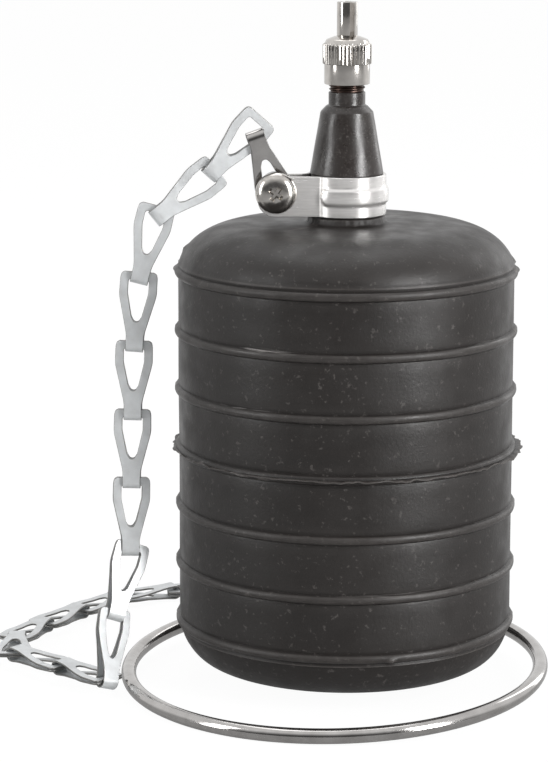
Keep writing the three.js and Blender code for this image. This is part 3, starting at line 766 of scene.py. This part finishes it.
def bladder_outside():
    """Section from the middle of the underside up to the top of the neck."""
    low_join = RIB_FIRST - RIB_H / 2 - 0.8
    points = [(0, 0), (REST_R * 0.5, 0), (REST_R, 0)]
    points += [((REST_R + BODY_R - ROUND_W) / 2 + 1, 0.44 * REST_RISE)]
    lower = ellipse(BODY_R - ROUND_W, ROUND_TOP, ROUND_W, ROUND_H, -math.pi / 2 + 0.2, 0, 22)
    points += [p for p in lower if p[1] < low_join]
    for i in range(RIB_COUNT):
        z = RIB_FIRST + i * RIB_PITCH
        points += rib_profile(z, i == FLASH_RIB)
        if i < RIB_COUNT - 1:
            points += [(BODY_R, z + RIB_PITCH * t) for t in (0.3, 0.4, 0.5, 0.6, 0.7)]
    upper = ellipse(BODY_R - SHOULDER_W, RIB_LAST, SHOULDER_W, SHOULDER_H, 0, math.pi / 2, 30)
    points += [p for p in upper if p[1] > RIB_LAST + RIB_H / 2 + 0.8]
    top_r = BODY_R - SHOULDER_W
    points += [(NECK_R + (top_r - NECK_R) * t, TOP_Z - CROWN * t) for t in (0.8, 0.6, 0.4, 0.2, 0.08)]
    points += [(NECK_R + 0.35, TOP_Z + 0.1), (NECK_R, TOP_Z + 0.4), (NECK_R - 0.1, BAND_Z0 - 0.6),
               (NECK_R - 0.35, BAND_Z0 - 0.3), (NECK_CLAMPED_R, BAND_Z0 - 0.25)]
    points += [(NECK_CLAMPED_R, NECK_TOP - 0.2), (NECK_CLAMPED_R - 0.2, NECK_TOP)]
    return points


def bladder_inside():
    """Section from the neck's bore down to the middle of the floor inside."""
    r = BODY_R - BODY_WALL
    floor = REST_RISE + BODY_WALL
    small = ROUND_W - 2
    wide, high = SHOULDER_W - 4, SHOULDER_H - 2
    roof = ellipse(r - wide, ROOF_Z - high, wide, high, math.pi / 2, 0, 5)
    base = ellipse(r - small, floor + small, small, small, 0, -math.pi / 2, 4)
    return [(BORE_R, NECK_TOP), (BORE_R, ROOF_Z)] + roof + base + [(0, floor)]


def turned_apart(turns, centre):
    """How far round each turn is from a centre, either way."""
    return np.abs((turns - centre + math.pi) % TURN - math.pi)


def shape_bladder(radius, height, turns):
    """Unevenness of the moulding: soft waves, a ragged fin, nibs where the mould parts, a torn foot."""
    flat = turns[0]
    out = np.clip((radius - (BODY_R - 3)) / 3, 0, 1) * (height > 8)
    waves = ripple(turns, 1) * np.sin(height * 0.11) + 0.5 * ripple(turns, 2) * np.cos(height * 0.2)
    radius = radius + out * WAVE * waves

    far = BODY_R + RIB_PROUD
    middle = RIB_FIRST + FLASH_RIB * RIB_PITCH
    fin = np.clip((radius - far) / FLASH_PROUD, 0, 1.3) * (np.abs(height - middle) < 1)
    right = 0.5 + 0.5 * np.cos(flat)
    ragged = 0.35 + 0.5 * right
    for share, seed, scale in ((0.38, 4, 9), (0.3, 7, 26), (0.25, 12, 60)):
        ragged = ragged + share * rough(flat, seed, scale)
    ragged = np.clip(ragged, 0.06, 1.12)
    radius = np.where(fin > 0.05, far + (radius - far) * ragged[None, :], radius)
    height = height + fin * (0.45 * rough(flat, 21, 6) + 0.35 * rough(flat, 33, 22))[None, :]

    top_rib = np.exp(-((height - RIB_LAST) / 0.8) ** 2) * (radius > BODY_R)
    for seam, swelling, nib_z in SEAMS:
        apart = turned_apart(turns, seam)
        radius = radius + swelling * top_rib * np.exp(-(apart / 0.03) ** 2)
        nib = np.exp(-(apart / 0.022) ** 2 - ((height - nib_z) / 0.7) ** 2)
        radius = radius + NIB_PROUD * nib * (radius > BODY_R - 5)
        radius = radius + SEAM_PROUD * out * np.exp(-(apart / 0.012) ** 2)

    apart = turned_apart(turns, VENT_TURN) * BODY_R
    vent = np.exp(-(apart / 0.55) ** 2 - ((height - RIB_FIRST + 0.5) / 0.6) ** 2)
    radius = radius + VENT_PROUD * vent * out
    beads = np.exp(-(((height - RIB_FIRST) % RIB_PITCH) / 1.0) ** 2) * (radius > BODY_R + 0.2)
    height = height + beads * RIB_WAVER * ripple(turns, 5)

    foot = (height > TOP_Z + 0.05) & (height < BAND_Z0 - 0.1) & (radius < NECK_R + 1)
    torn = 0.3 * rough(flat, 40, 5) + 0.1 * rough(flat, 45, 14)
    radius = np.where(foot & (radius > NECK_CLAMPED_R + 0.1), radius + torn[None, :], radius)
    return radius, height


def paint_scuff_highlights(mesh):
    """How rubbed each point is, the mask for a pale painted highlight: shiny marks on the upper edges of
    three ribs.
    """
    co = np.empty(len(mesh.vertices) * 3)
    mesh.vertices.foreach_get("co", co)
    co = co.reshape(-1, 3) / MM
    turn = np.arctan2(co[:, 1], co[:, 0])
    value = np.zeros(len(co))
    for z, centre, spread, strength in SCUFF_HIGHLIGHTS:
        near = np.exp(-((co[:, 2] - z - 0.8) / 0.4) ** 2) * np.exp(-((turn - centre) / spread) ** 2)
        value = np.maximum(value, strength * near)
    attribute = mesh.attributes.new("scuff_highlight", "FLOAT", "POINT")
    attribute.data.foreach_set("value", value)


def make_bladder(material):
    profile = bladder_outside() + bladder_inside()
    mesh = revolve("bladder_skin", profile, 300, shape_bladder, angle=50)
    paint_scuff_highlights(mesh)
    make_object("bladder_skin", mesh, "plug", "bladder", [material])


# Valve

def make_stem(material):
    """Cone, sleeve and the flange inside the bladder that holds the valve."""
    low, high = node_sizes("valve_stem")
    cone_z1 = BAND_Z1 + CONE_H
    sleeve_z0 = cone_z1 + CONE_CHAMFER_H
    flange = [(TUBE_R + FIT, low.z), (FLANGE_R, low.z), (FLANGE_R, ROOF_Z - FIT),
              (BORE_R - FIT, ROOF_Z - FIT), (BORE_R - FIT, BAND_Z1)]
    outside = fillet([(BORE_R - FIT, BAND_Z1 + 0.02), (CONE_R0, BAND_Z1 + 0.02), (CONE_R1, cone_z1),
                      (CONE_CHAMFER_R, sleeve_z0), (SLEEVE_R, sleeve_z0 + 0.15), (SLEEVE_R, high.z),
                      (TUBE_R + FIT, high.z)], 0.22, 3)
    rows = []
    for a, b in zip(outside, outside[1:]):
        steps = max(1, round(math.dist(a, b) / 0.8))
        rows += [(a[0] + (b[0] - a[0]) * i / steps, a[1] + (b[1] - a[1]) * i / steps) for i in range(steps)]
    rows.append(outside[-1])

    def shape(radius, height, turns):
        coarse = ripple(turns, 3) * np.sin(height * 0.8)
        waves = 0.05 * (coarse + 0.6 * ripple(turns, 8) * np.cos(height * 0.5))
        return radius + np.where((radius > SLEEVE_R + 0.1) & (height > BAND_Z1), waves, 0), height

    mesh = revolve("stem_cover", flange + rows, 96, shape, closed=True)
    make_object("stem_cover", mesh, "plug", "valve_stem", [material])


def threaded(inner_rows, radius, z0, z1, pitch, depth, sides, name):
    """Revolved piece whose outside between z0 and z1 carries a thread. inner_rows close the section."""
    steps = round((z1 - z0) / pitch * 8)
    rows = [(radius, z0 + (z1 - z0) * i / steps) for i in range(steps + 1)]

    def shape(r, z, turns):
        on = (np.abs(r - radius) < 1e-6) & (z > z0 - 1e-6) & (z < z1 + 1e-6)
        wave = np.abs(((z / pitch - turns / TURN) % 1) * 2 - 1)
        fade = np.clip(np.minimum(z - z0, z1 - z) / (pitch * 0.6), 0, 1)
        return r - np.where(on, depth * (1 - fade * np.clip(1.5 - 1.9 * wave, 0, 1)), 0), z

    return revolve(name, rows + inner_rows, sides, shape, closed=True, angle=40)


def make_tube(material):
    """Threaded tube with a wider bore at its top for the core."""
    low, high = node_sizes("valve_tube")
    z0 = high.z - THREAD_LENGTH
    chest = node_sizes("core_cup")[0].z - 1.4
    inner = [(CORE_BORE_R + 0.2, high.z), (CORE_BORE_R, high.z - 0.2), (CORE_BORE_R, chest),
             (TUBE_BORE_R, chest - 1), (TUBE_BORE_R, low.z), (TUBE_R, low.z), (TUBE_R, z0)]
    mesh = threaded(inner, THREAD_R, z0, high.z, THREAD_PITCH, THREAD_DEPTH, 72, "threaded_tube")
    make_object("threaded_tube", mesh, "plug", "valve_tube", [material])


def shape_knurl(radius, height, turns):
    """Rounded teeth pressed into the cap's knurled ring."""
    grooves = 0.5 + 0.5 * np.cos(KNURL_TEETH * turns)
    on = radius > CAP_R + 0.15
    return radius - np.where(on, KNURL_DEPTH * (1 - grooves ** 0.7), 0), height


def make_cap(material):
    """Cap with a plain skirt, a knurled ring, a low cone and a slotted fork."""
    low, high = node_sizes("valve_cap")
    z0 = low.z
    knurl_z0 = z0 + KNURL_LOW
    knurl_z1 = knurl_z0 + KNURL_H
    cone_z0 = knurl_z1 + CAP_SHOULDER_H
    cone_z1 = cone_z0 + CAP_CONE_H
    inner = CAP_R - CAP_WALL
    roof = cone_z1 - CAP_ROOF
    bore = [(0, roof), (inner, roof), (inner, roof - 0.4), (inner, z0 + 0.1)]
    skirt = [(inner + 0.1, z0), (CAP_R - 0.25, z0), (CAP_R - 0.06, z0 + 0.07), (CAP_R, z0 + 0.25),
             (CAP_R, knurl_z0 - 0.12), (CAP_R, knurl_z0 - 0.02)]
    knurl = [(KNURL_R - 0.12, knurl_z0), (KNURL_R, knurl_z0 + 0.12), (KNURL_R, knurl_z0 + 1.5),
             (KNURL_R, knurl_z0 + 2.8), (KNURL_R, knurl_z1 - 0.15), (KNURL_R - 0.15, knurl_z1)]
    top = [(CAP_R - 0.05, knurl_z1 + 0.15), (CAP_TOP_R + 0.1, cone_z0 - 0.08),
           (CAP_TOP_R - 0.15, cone_z0 + 0.06), (CAP_CONE_R + 0.1, cone_z1 - 0.05),
           (CAP_CONE_R - 0.15, cone_z1), (0, cone_z1)]
    body = revolve("screw_cap", bore + skirt + knurl + top, 288, shape_knurl, angle=32)
    prongs = [fork_prong(sign, cone_z1 - 0.3, high.z) for sign in (1, -1)]
    mesh = joined("screw_cap", [body] + prongs)
    make_object("screw_cap", mesh, "cap", "valve_cap", [material])


def fork_prong(sign, z0, z1):
    """Half of a slotted round rod."""
    half = FORK_SLOT / 2
    start = math.asin(half / FORK_R)
    arc = [start + (math.pi - 2 * start) * i / 24 for i in range(25)]
    outline = [(FORK_R * math.cos(a), sign * FORK_R * math.sin(a)) for a in arc]
    mesh = plate("prong", [outline], z1 - z0, 0.14)
    place = Matrix.Translation((0, 0, (z0 + z1) / 2)) @ Matrix.Rotation(FORK_TURN + math.pi / 2, 4, "Z")
    return moved(moved(mesh, place), Matrix.Scale(MM, 4))


# Clamp

def band_path():
    """Middle of the strip in plan, from the front ear's end round the neck to the rear ear's end."""
    front_y = EAR_FRONT_Y + STRIP / 2
    rear_y = EAR_FRONT_Y + STRIP + EAR_GAP + STRIP / 2
    bend = -math.pi / 2 - math.acos(-(front_y + 0.25) / BAND_MID_R)
    points = [Vector((-EAR_REACH, front_y)), Vector((BAND_MID_R * math.cos(bend) - 0.9, front_y))]
    end = math.pi - 0.1
    for i in range(121):
        a = bend + 0.05 + (end - bend - 0.05) * i / 120
        points.append(Vector((BAND_MID_R * math.cos(a), BAND_MID_R * math.sin(a))))
    rear = ((-BAND_MID_R - 0.05, 0.2), (-BAND_MID_R - 1.3, rear_y), (-EAR_REACH, rear_y))
    points += [Vector(place) for place in rear]
    return resample(points, BAND_STEP, 3), bend


def resample(points, step, passes):
    """Evenly spaced points along a line, with its corners softened."""
    points = np.array([tuple(p) for p in points])
    along = np.concatenate([[0], np.cumsum(np.linalg.norm(np.diff(points, axis=0), axis=1))])
    count = int(along[-1] / step)
    even = np.linspace(0, along[-1], count + 1)
    line = np.stack([np.interp(even, along, points[:, k]) for k in range(points.shape[1])], axis=1)
    for _ in range(passes):
        line[1:-1] = (line[:-2] + 2 * line[1:-1] + line[2:]) / 4
    return line


def strip_section(rows):
    """Closed section of the strip: (offset, height share) with rounded edges, outer side first."""
    half = STRIP / 2
    outer = [(half, -1 + 2 * i / rows) for i in range(rows + 1)]
    soft = 0.03
    outer[0], outer[-1] = (half, -1 + soft), (half, 1 - soft)
    edge_top = [(half * 0.75, 1 - soft * 0.25), (0, 1), (-half * 0.75, 1 - soft * 0.25)]
    inner = [(-o, s) for o, s in reversed(outer)]
    edge_low = [(-half * 0.75, -1 + soft * 0.25), (0, -1), (half * 0.75, -1 + soft * 0.25)]
    return outer + edge_top + inner + edge_low


def bead_height(z, from_end):
    """Pressed bead: a crowned rib with tight corners and round ends."""
    half = BEAD_H / 2
    inside = half - math.hypot(max(0, half - from_end), z)
    share = min(1, max(0, inside / 0.6))
    crown = 0.75 + 0.25 * math.cos(min(1, abs(z) / half) * math.pi / 2)
    return BEAD_PROUD * share * share * (3 - 2 * share) * crown


def make_band(material):
    """Strip swept along its path, with rounded ends, its pressed bead and the screw's two holes."""
    path, bend = band_path()
    ahead = np.gradient(path, axis=0)
    ahead /= np.linalg.norm(ahead, axis=1)[:, None]
    outward = np.stack([ahead[:, 1], -ahead[:, 0]], axis=1)
    section = strip_section(34)
    corner = BAND_CORNER * BAND_H
    half = BAND_H / 2
    middle = (BAND_Z0 + BAND_Z1) / 2
    turns = (np.arctan2(path[:, 1], path[:, 0]) - bend) % TURN
    on_round = np.linalg.norm(path, axis=1) < BAND_MID_R + 0.3
    length = np.arange(len(path)) * BAND_STEP
    points = []
    for i, place in enumerate(path):
        from_end = min(length[i], length[-1] - length[i])
        reach = half
        if from_end < corner:
            reach = half - corner + math.sqrt(max(0, corner ** 2 - (corner - from_end) ** 2))
        to_bead = min(turns[i] - BEAD_START, math.pi / 2 - bend - turns[i]) * (BAND_MID_R + STRIP / 2)
        for offset, share in section:
            z = share * reach
            shift = offset + (bead_height(z, to_bead) if on_round[i] and to_bead > 0 else 0)
            points.append((place[0] + outward[i][0] * shift, place[1] + outward[i][1] * shift, middle + z))
    mesh = to_mesh("band", points, tube_faces(len(path), len(section)), 40)
    hole = revolve("hole", [(0, -12), (HOLE_R, -12), (HOLE_R, 4), (0, 4)], 48)
    mesh = cut(mesh, across_y(hole))
    make_object("band", mesh, "plug", "clamp_band", [material])


def across_y(mesh):
    """Turns a piece made about Z so that its Z runs along +Y through the clamp's screw."""
    lay_down = Matrix.Rotation(-math.pi / 2, 4, "X")
    return moved(mesh, Matrix.Translation((SCREW_X * MM, 0, SCREW_Z * MM)) @ lay_down)


def make_screw(material):
    """Domed head with a worn sunk cross, and a threaded shank."""
    seat = EAR_FRONT_Y
    end = node_sizes("clamp_screw")[1].y
    tip = seat - HEAD_H
    dome = [(0, tip), (0.35 * HEAD_R, tip + 0.04), (0.6 * HEAD_R, tip + 0.2), (0.8 * HEAD_R, tip + 0.62),
            (0.93 * HEAD_R, tip + 1.15), (0.985 * HEAD_R, tip + 1.6), (HEAD_R, seat - 0.5)]
    under = [(HEAD_R, seat - 0.15), (HEAD_R - 0.15, seat), (SHANK_R - 0.3, seat), (SHANK_R - 0.3, seat + 0.5),
             (0, seat + 0.5)]
    head = revolve("head", dome + under, 72, angle=38)
    w, l = CROSS_HALF_W, CROSS_HALF_L
    for turn in (CROSS_TURN, CROSS_TURN + math.pi / 2):
        arm = plate("arm", [[(-w, -l), (w, -l), (w, l), (-w, l)]], CROSS_H, 0.12)
        for v in arm.vertices:
            if v.co.z > 0:
                v.co.x *= CROSS_TAPER
                v.co.y *= CROSS_TAPER
        place = Matrix.Translation((0, 0, tip)) @ Matrix.Rotation(turn, 4, "Z")
        head = cut(head, moved(moved(arm, place), Matrix.Scale(MM, 4)))
    core = [(SHANK_R - 0.35, end), (0, end), (0, seat + 0.2), (SHANK_R - 0.35, seat + 0.2)]
    shank = threaded(core, SHANK_R, seat + 0.2, end, SCREW_PITCH, SCREW_THREAD, 36, "shank")
    mesh = across_y(joined("screw", [head, shank]))
    make_object("screw", mesh, "plug", "clamp_screw", [material])


def make_washer(material):
    low, high = node_sizes("clamp_washer")
    outer = (high.x - low.x) / 2
    bore = SHANK_R + FIT
    loop = [(bore, low.y + 0.08), (bore + 0.08, low.y), (outer - 0.15, low.y), (outer, low.y + 0.15),
            (outer, high.y - 0.15), (outer - 0.15, high.y), (bore + 0.08, high.y), (bore, high.y - 0.08)]
    mesh = across_y(revolve("washer", loop, 64, closed=True))
    make_object("washer", mesh, "plug", "clamp_washer", [material])


def make_nut(material):
    low, high = node_sizes("clamp_nut")
    bore = SHANK_R + FIT
    corner = NUT_ACROSS / 2 / math.cos(math.pi / 6)
    loop = [(bore, low.y + 0.2), (bore + 0.2, low.y), (corner - 0.5, low.y), (corner, low.y + 0.35),
            (corner, high.y - 0.35), (corner - 0.5, high.y), (bore + 0.2, high.y), (bore, high.y - 0.2)]

    def shape(radius, height, turns):
        side = NUT_ACROSS / 2 / np.cos((turns + math.pi / 6) % (math.pi / 3) - math.pi / 6)
        return np.where(radius > bore + 0.3, np.minimum(radius, side), radius), height

    mesh = across_y(revolve("nut", loop, 96, shape, closed=True))
    make_object("nut", mesh, "plug", "clamp_nut", [material])


# Chain and ring

def link_leaf_line(loop_r):
    """Middle of the sheet from the fold's far end back to the wide end, as (along, out of plane)."""
    r = loop_r + SHEET / 2
    points = [(LINK_PITCH + r * math.cos(a), r * math.sin(a)) for a in np.linspace(0, FOLD_WRAP, 15)]
    points += [(0.72 * WINDOW_END, (GAP_WINDOW + SHEET) / 2), (-LINK_BAR / 2, (GAP_WIDE + SHEET) / 2)]
    return resample(points, LINK_STEP, 12)


def link_outlines(line):
    """Unfolded strip and its two windows. The fold is at zero, and the two leaves run both ways from it."""
    flat = np.arange(len(line)) * np.linalg.norm(np.diff(line, axis=0), axis=1).mean()
    bent = np.argmax(line[:, 0] < LINK_PITCH - 1)

    def unfolded(y):
        return float(np.interp(-y, -line[bent:, 0], flat[bent:]))

    wide, narrow, bar = LINK_WIDE / 2, LINK_NARROW / 2, LINK_BAR / 2
    end = float(flat[-1])
    side = [(narrow, 0), (narrow, unfolded(LINK_WAIST)), (wide, unfolded(LINK_HIP)),
            (wide - 0.05, unfolded(0.4)), (wide - 0.25, unfolded(-0.45)), (wide - 0.9, end)]
    side = fillet(side, 0.9, 4)
    up = side + [(-x, s) for x, s in reversed(side)]
    outline = up + [(-x, -s) for x, s in up[1:-1]]
    half = WINDOW_W / 2
    edge = [(0, unfolded(bar)), (half - 0.35, unfolded(bar)), (half, unfolded(bar + 0.4)),
            (half, unfolded(LINK_HIP - 0.4)), (0.5 * half, unfolded(WINDOW_END - 1)),
            (0.22 * half, unfolded(WINDOW_END)), (0, unfolded(WINDOW_END + 0.1))]
    edge = fillet(edge, 0.35, 3)
    window = edge + [(-x, s) for x, s in reversed(edge[1:-1])]
    other = [(x, -s) for x, s in window]
    return flat, [outline, window, other]


def make_link_mesh(loop_r):
    """Stamped strip with rounded edges, folded double.

    X runs across, Y from the bar to the fold and Z through the two leaves.
    """
    line = link_leaf_line(loop_r)
    flat, outlines = link_outlines(line)
    mesh = plate("link", outlines, SHEET, 0.09)
    b = bmesh.new()
    b.from_mesh(mesh)
    # Flat faces take the plating; the rounded and cut edges take the second, darker metal: bare cut edge, and
    # painted dark reflection
    for face in b.faces:
        face.material_index = 0 if abs(face.normal.z) > 0.95 else 1
    rows = np.concatenate([np.linspace(0.2, 5, 25), np.linspace(5.5, 11.5, 13), [13, 14.5, 16]])
    for row in rows:
        for s in (row, -row):
            whole = b.verts[:] + b.edges[:] + b.faces[:]
            bmesh.ops.bisect_plane(b, geom=whole, plane_co=(0, s, 0), plane_no=(0, 1, 0))
    b.to_mesh(mesh)
    b.free()
    ahead = np.gradient(line, axis=0)
    ahead /= np.linalg.norm(ahead, axis=1)[:, None]
    out = np.stack([-ahead[:, 1], ahead[:, 0]], axis=1)
    out *= -1 if out[0][0] > 0 else 1
    for v in mesh.vertices:
        s, t = abs(v.co.y), v.co.z
        side = 1 if v.co.y >= 0 else -1
        y, z = (float(np.interp(s, flat, line[:, k])) for k in (0, 1))
        ny, nz = (float(np.interp(s, flat, out[:, k])) for k in (0, 1))
        depth = -t
        v.co = (v.co.x, y + ny * depth, side * (z + nz * depth))
    return weigh_normals(finish_mesh(mesh, 50))


def link_frame(name):
    """Bar, axes and fold radius of a packed link, from the spread of its own surface."""
    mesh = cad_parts[name].data
    co = np.array([v.co for v in mesh.vertices]) / MM
    mesh.calc_loop_triangles()
    tri = np.array([t.vertices for t in mesh.loop_triangles])
    corners = co[tri]
    cross = np.cross(corners[:, 1] - corners[:, 0], corners[:, 2] - corners[:, 0])
    area = np.linalg.norm(cross, axis=1) / 2
    centre = (corners.mean(axis=1) * area[:, None]).sum(axis=0) / area.sum()
    spread = np.zeros((3, 3))
    for k in range(3):
        d = corners[:, k] - centre
        spread += np.einsum("i,ij,ik->jk", area / 12, d, d)
    middle = corners.mean(axis=1) - centre
    spread += np.einsum("i,ij,ik->jk", area * 9 / 12, middle, middle)
    axes = np.linalg.eigh(spread)[1]
    normal, across, along = axes[:, 0], axes[:, 1], axes[:, 2]
    place = (co - centre) @ along
    wide = np.abs((co - centre) @ across)
    if wide[place > place.max() - 2].max() > wide[place < place.min() + 2].max():
        along, place = -along, -place
    across = np.cross(along, normal)
    bar = centre + along * (place.min() + LINK_BAR / 2)
    thick = np.abs((co - centre) @ normal).max()
    return Vector(bar), Vector(across), Vector(along), Vector(normal), thick - SHEET


def make_chain(materials, first_finish):
    """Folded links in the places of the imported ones. The first, at the clamp, is brighter and smoother."""
    names = sorted(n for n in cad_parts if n.startswith("chain_link_"))
    shared = {}
    for name in names:
        bar, across, along, normal, loop_r = link_frame(name)
        kind = round(loop_r, 1)
        if kind not in shared:
            shared[kind] = make_link_mesh(loop_r)
        mesh = shared[kind].copy()
        place = Matrix.Identity(4)
        for k, axis in enumerate((across, along, normal)):
            place.col[k][:3] = axis
        place.translation = bar
        moved(mesh, Matrix.Scale(MM, 4) @ place)
        finish = [first_finish, materials[1]] if name == names[0] else materials
        make_object(name.replace("chain_link", "folded_link"), mesh, "plug", name, finish)
    for mesh in shared.values():
        bpy.data.meshes.remove(mesh)


def make_pull_ring(material):
    """Wire ring with slight unevenness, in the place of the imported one."""
    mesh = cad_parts["pull_ring"].data
    co = np.array([v.co for v in mesh.vertices]) / MM
    centre = co.mean(axis=0)
    axes = np.linalg.eigh(np.cov((co - centre).T))[1]
    normal = axes[:, 0] if axes[2, 0] > 0 else -axes[:, 0]
    wire = np.abs((co - centre) @ normal).max()
    flat = (co - centre) - np.outer((co - centre) @ normal, normal)
    radius = np.linalg.norm(flat, axis=1).max() - wire
    loop = ellipse(radius, 0, wire, wire, 0, TURN, 28)[:-1]

    def shape(r, z, turns):
        bent = r + 0.06 * ripple(turns, 6, ((2, 0.5), (5, 0.5)))
        return bent, z + 0.03 * ripple(turns, 9, ((3, 0.6), (4, 0.4)))

    ring = revolve("ring", loop, 256, shape, closed=True, angle=60)
    tilt = Vector((0, 0, 1)).rotation_difference(Vector(normal)).to_matrix().to_4x4()
    moved(ring, Matrix.Translation(Vector(centre) * MM) @ tilt)
    make_object("ring", ring, "plug", "pull_ring", [material])


def make_spring(material):
    """Coil in the place of the imported spring."""
    low, high = node_sizes("core_spring")
    wire = SPRING_WIRE_R
    radius = high.x - wire
    z0, z1 = low.z + wire, high.z - wire
    steps, sides = SPRING_TURNS * 24, 12
    points = []
    for i in range(steps + 1):
        a = TURN * SPRING_TURNS * i / steps
        z = z0 + (z1 - z0) * i / steps
        for j in range(sides):
            b = TURN * j / sides
            r = radius + wire * math.cos(b)
            points.append((r * math.cos(a), r * math.sin(a), z + wire * math.sin(b)))
    mesh = to_mesh("coil_spring", points, tube_faces(steps + 1, sides), 40)
    mesh.materials.append(material)
    piece = add_to_scene("coil_spring", mesh)
    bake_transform(piece)
    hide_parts("core_spring")


def dress_inner_pieces(brass, seal):
    """The valve's other inner pieces keep their CAD shape."""
    finishes = {
        "core_housing": brass,
        "core_pin": brass,
        "core_gasket": seal,
        "core_cup": seal,
        "cap_gasket": seal,
    }
    for name, material in finishes.items():
        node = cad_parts[name]
        node.data.materials.clear()
        node.data.materials.append(material)


def main():
    make_camera()
    bpy.context.scene.view_settings.view_transform = "Standard"
    GROUPS["fine_grain"] = make_grain_group()
    GROUPS["dust"] = make_dust_group()
    GROUPS["edge_wear_and_painted_light"] = make_edge_group()
    make_world()
    make_floor()
    make_lights()
    rubber = make_bladder_rubber()
    stem = make_stem_rubber()
    seal = make_seal_rubber()
    # Dark tone, light tone, lowest and highest roughness, and the scale of the marks
    steel = make_metal("polished_steel", "9b9896", "cbc9c7", 0.07, 0.2, 260, bump=0.06)
    satin = make_metal("satin_steel", "c4c2c0", "efedeb", 0.16, 0.32, 260,
                       stretch=(1, 1, 14), bump=0.12, metallic=0.7)
    worn_nickel = make_metal("worn_nickel", "96928d", "e6e2dd", 0.1, 0.26, 700, bump=0.12)
    nickel = make_metal("nickel_plate", "aaa6a2", "d6d2cd", 0.08, 0.2, 420, bump=0.05)
    # Zinc with its convex edges darkened: wear, and painted dark reflection
    zinc = make_metal("zinc_plate", "bcbdbd", "dfe2e4", 0.34, 0.48, 380, bump=0.22, edge=0.5, metallic=0.5)
    # Darker metal for the links' cut edges: bare cut steel, and painted dark reflection
    cut_edge_dark_reflection = make_metal("cut_edge_dark_reflection", "6b6a68", "9b9a98", 0.3, 0.45, 600, bump=0.3)
    thread = make_metal("dark_brass", "2d2524", "5a4b44", 0.25, 0.42, 700, bump=0.1)
    brass = make_metal("brass", "8f6d38", "b8924e", 0.25, 0.4, 500, bump=0.1)
    spring = make_metal("spring_steel", "7f7f7d", "a5a5a3", 0.25, 0.35, 900, bump=0.1)
    make_bladder(rubber)
    make_stem(stem)
    make_tube(thread)
    make_cap(nickel)
    make_band(satin)
    make_screw(worn_nickel)
    make_washer(zinc)
    make_nut(zinc)
    make_chain([zinc, cut_edge_dark_reflection], steel)
    make_pull_ring(steel)
    make_spring(spring)
    dress_inner_pieces(brass, seal)


main()
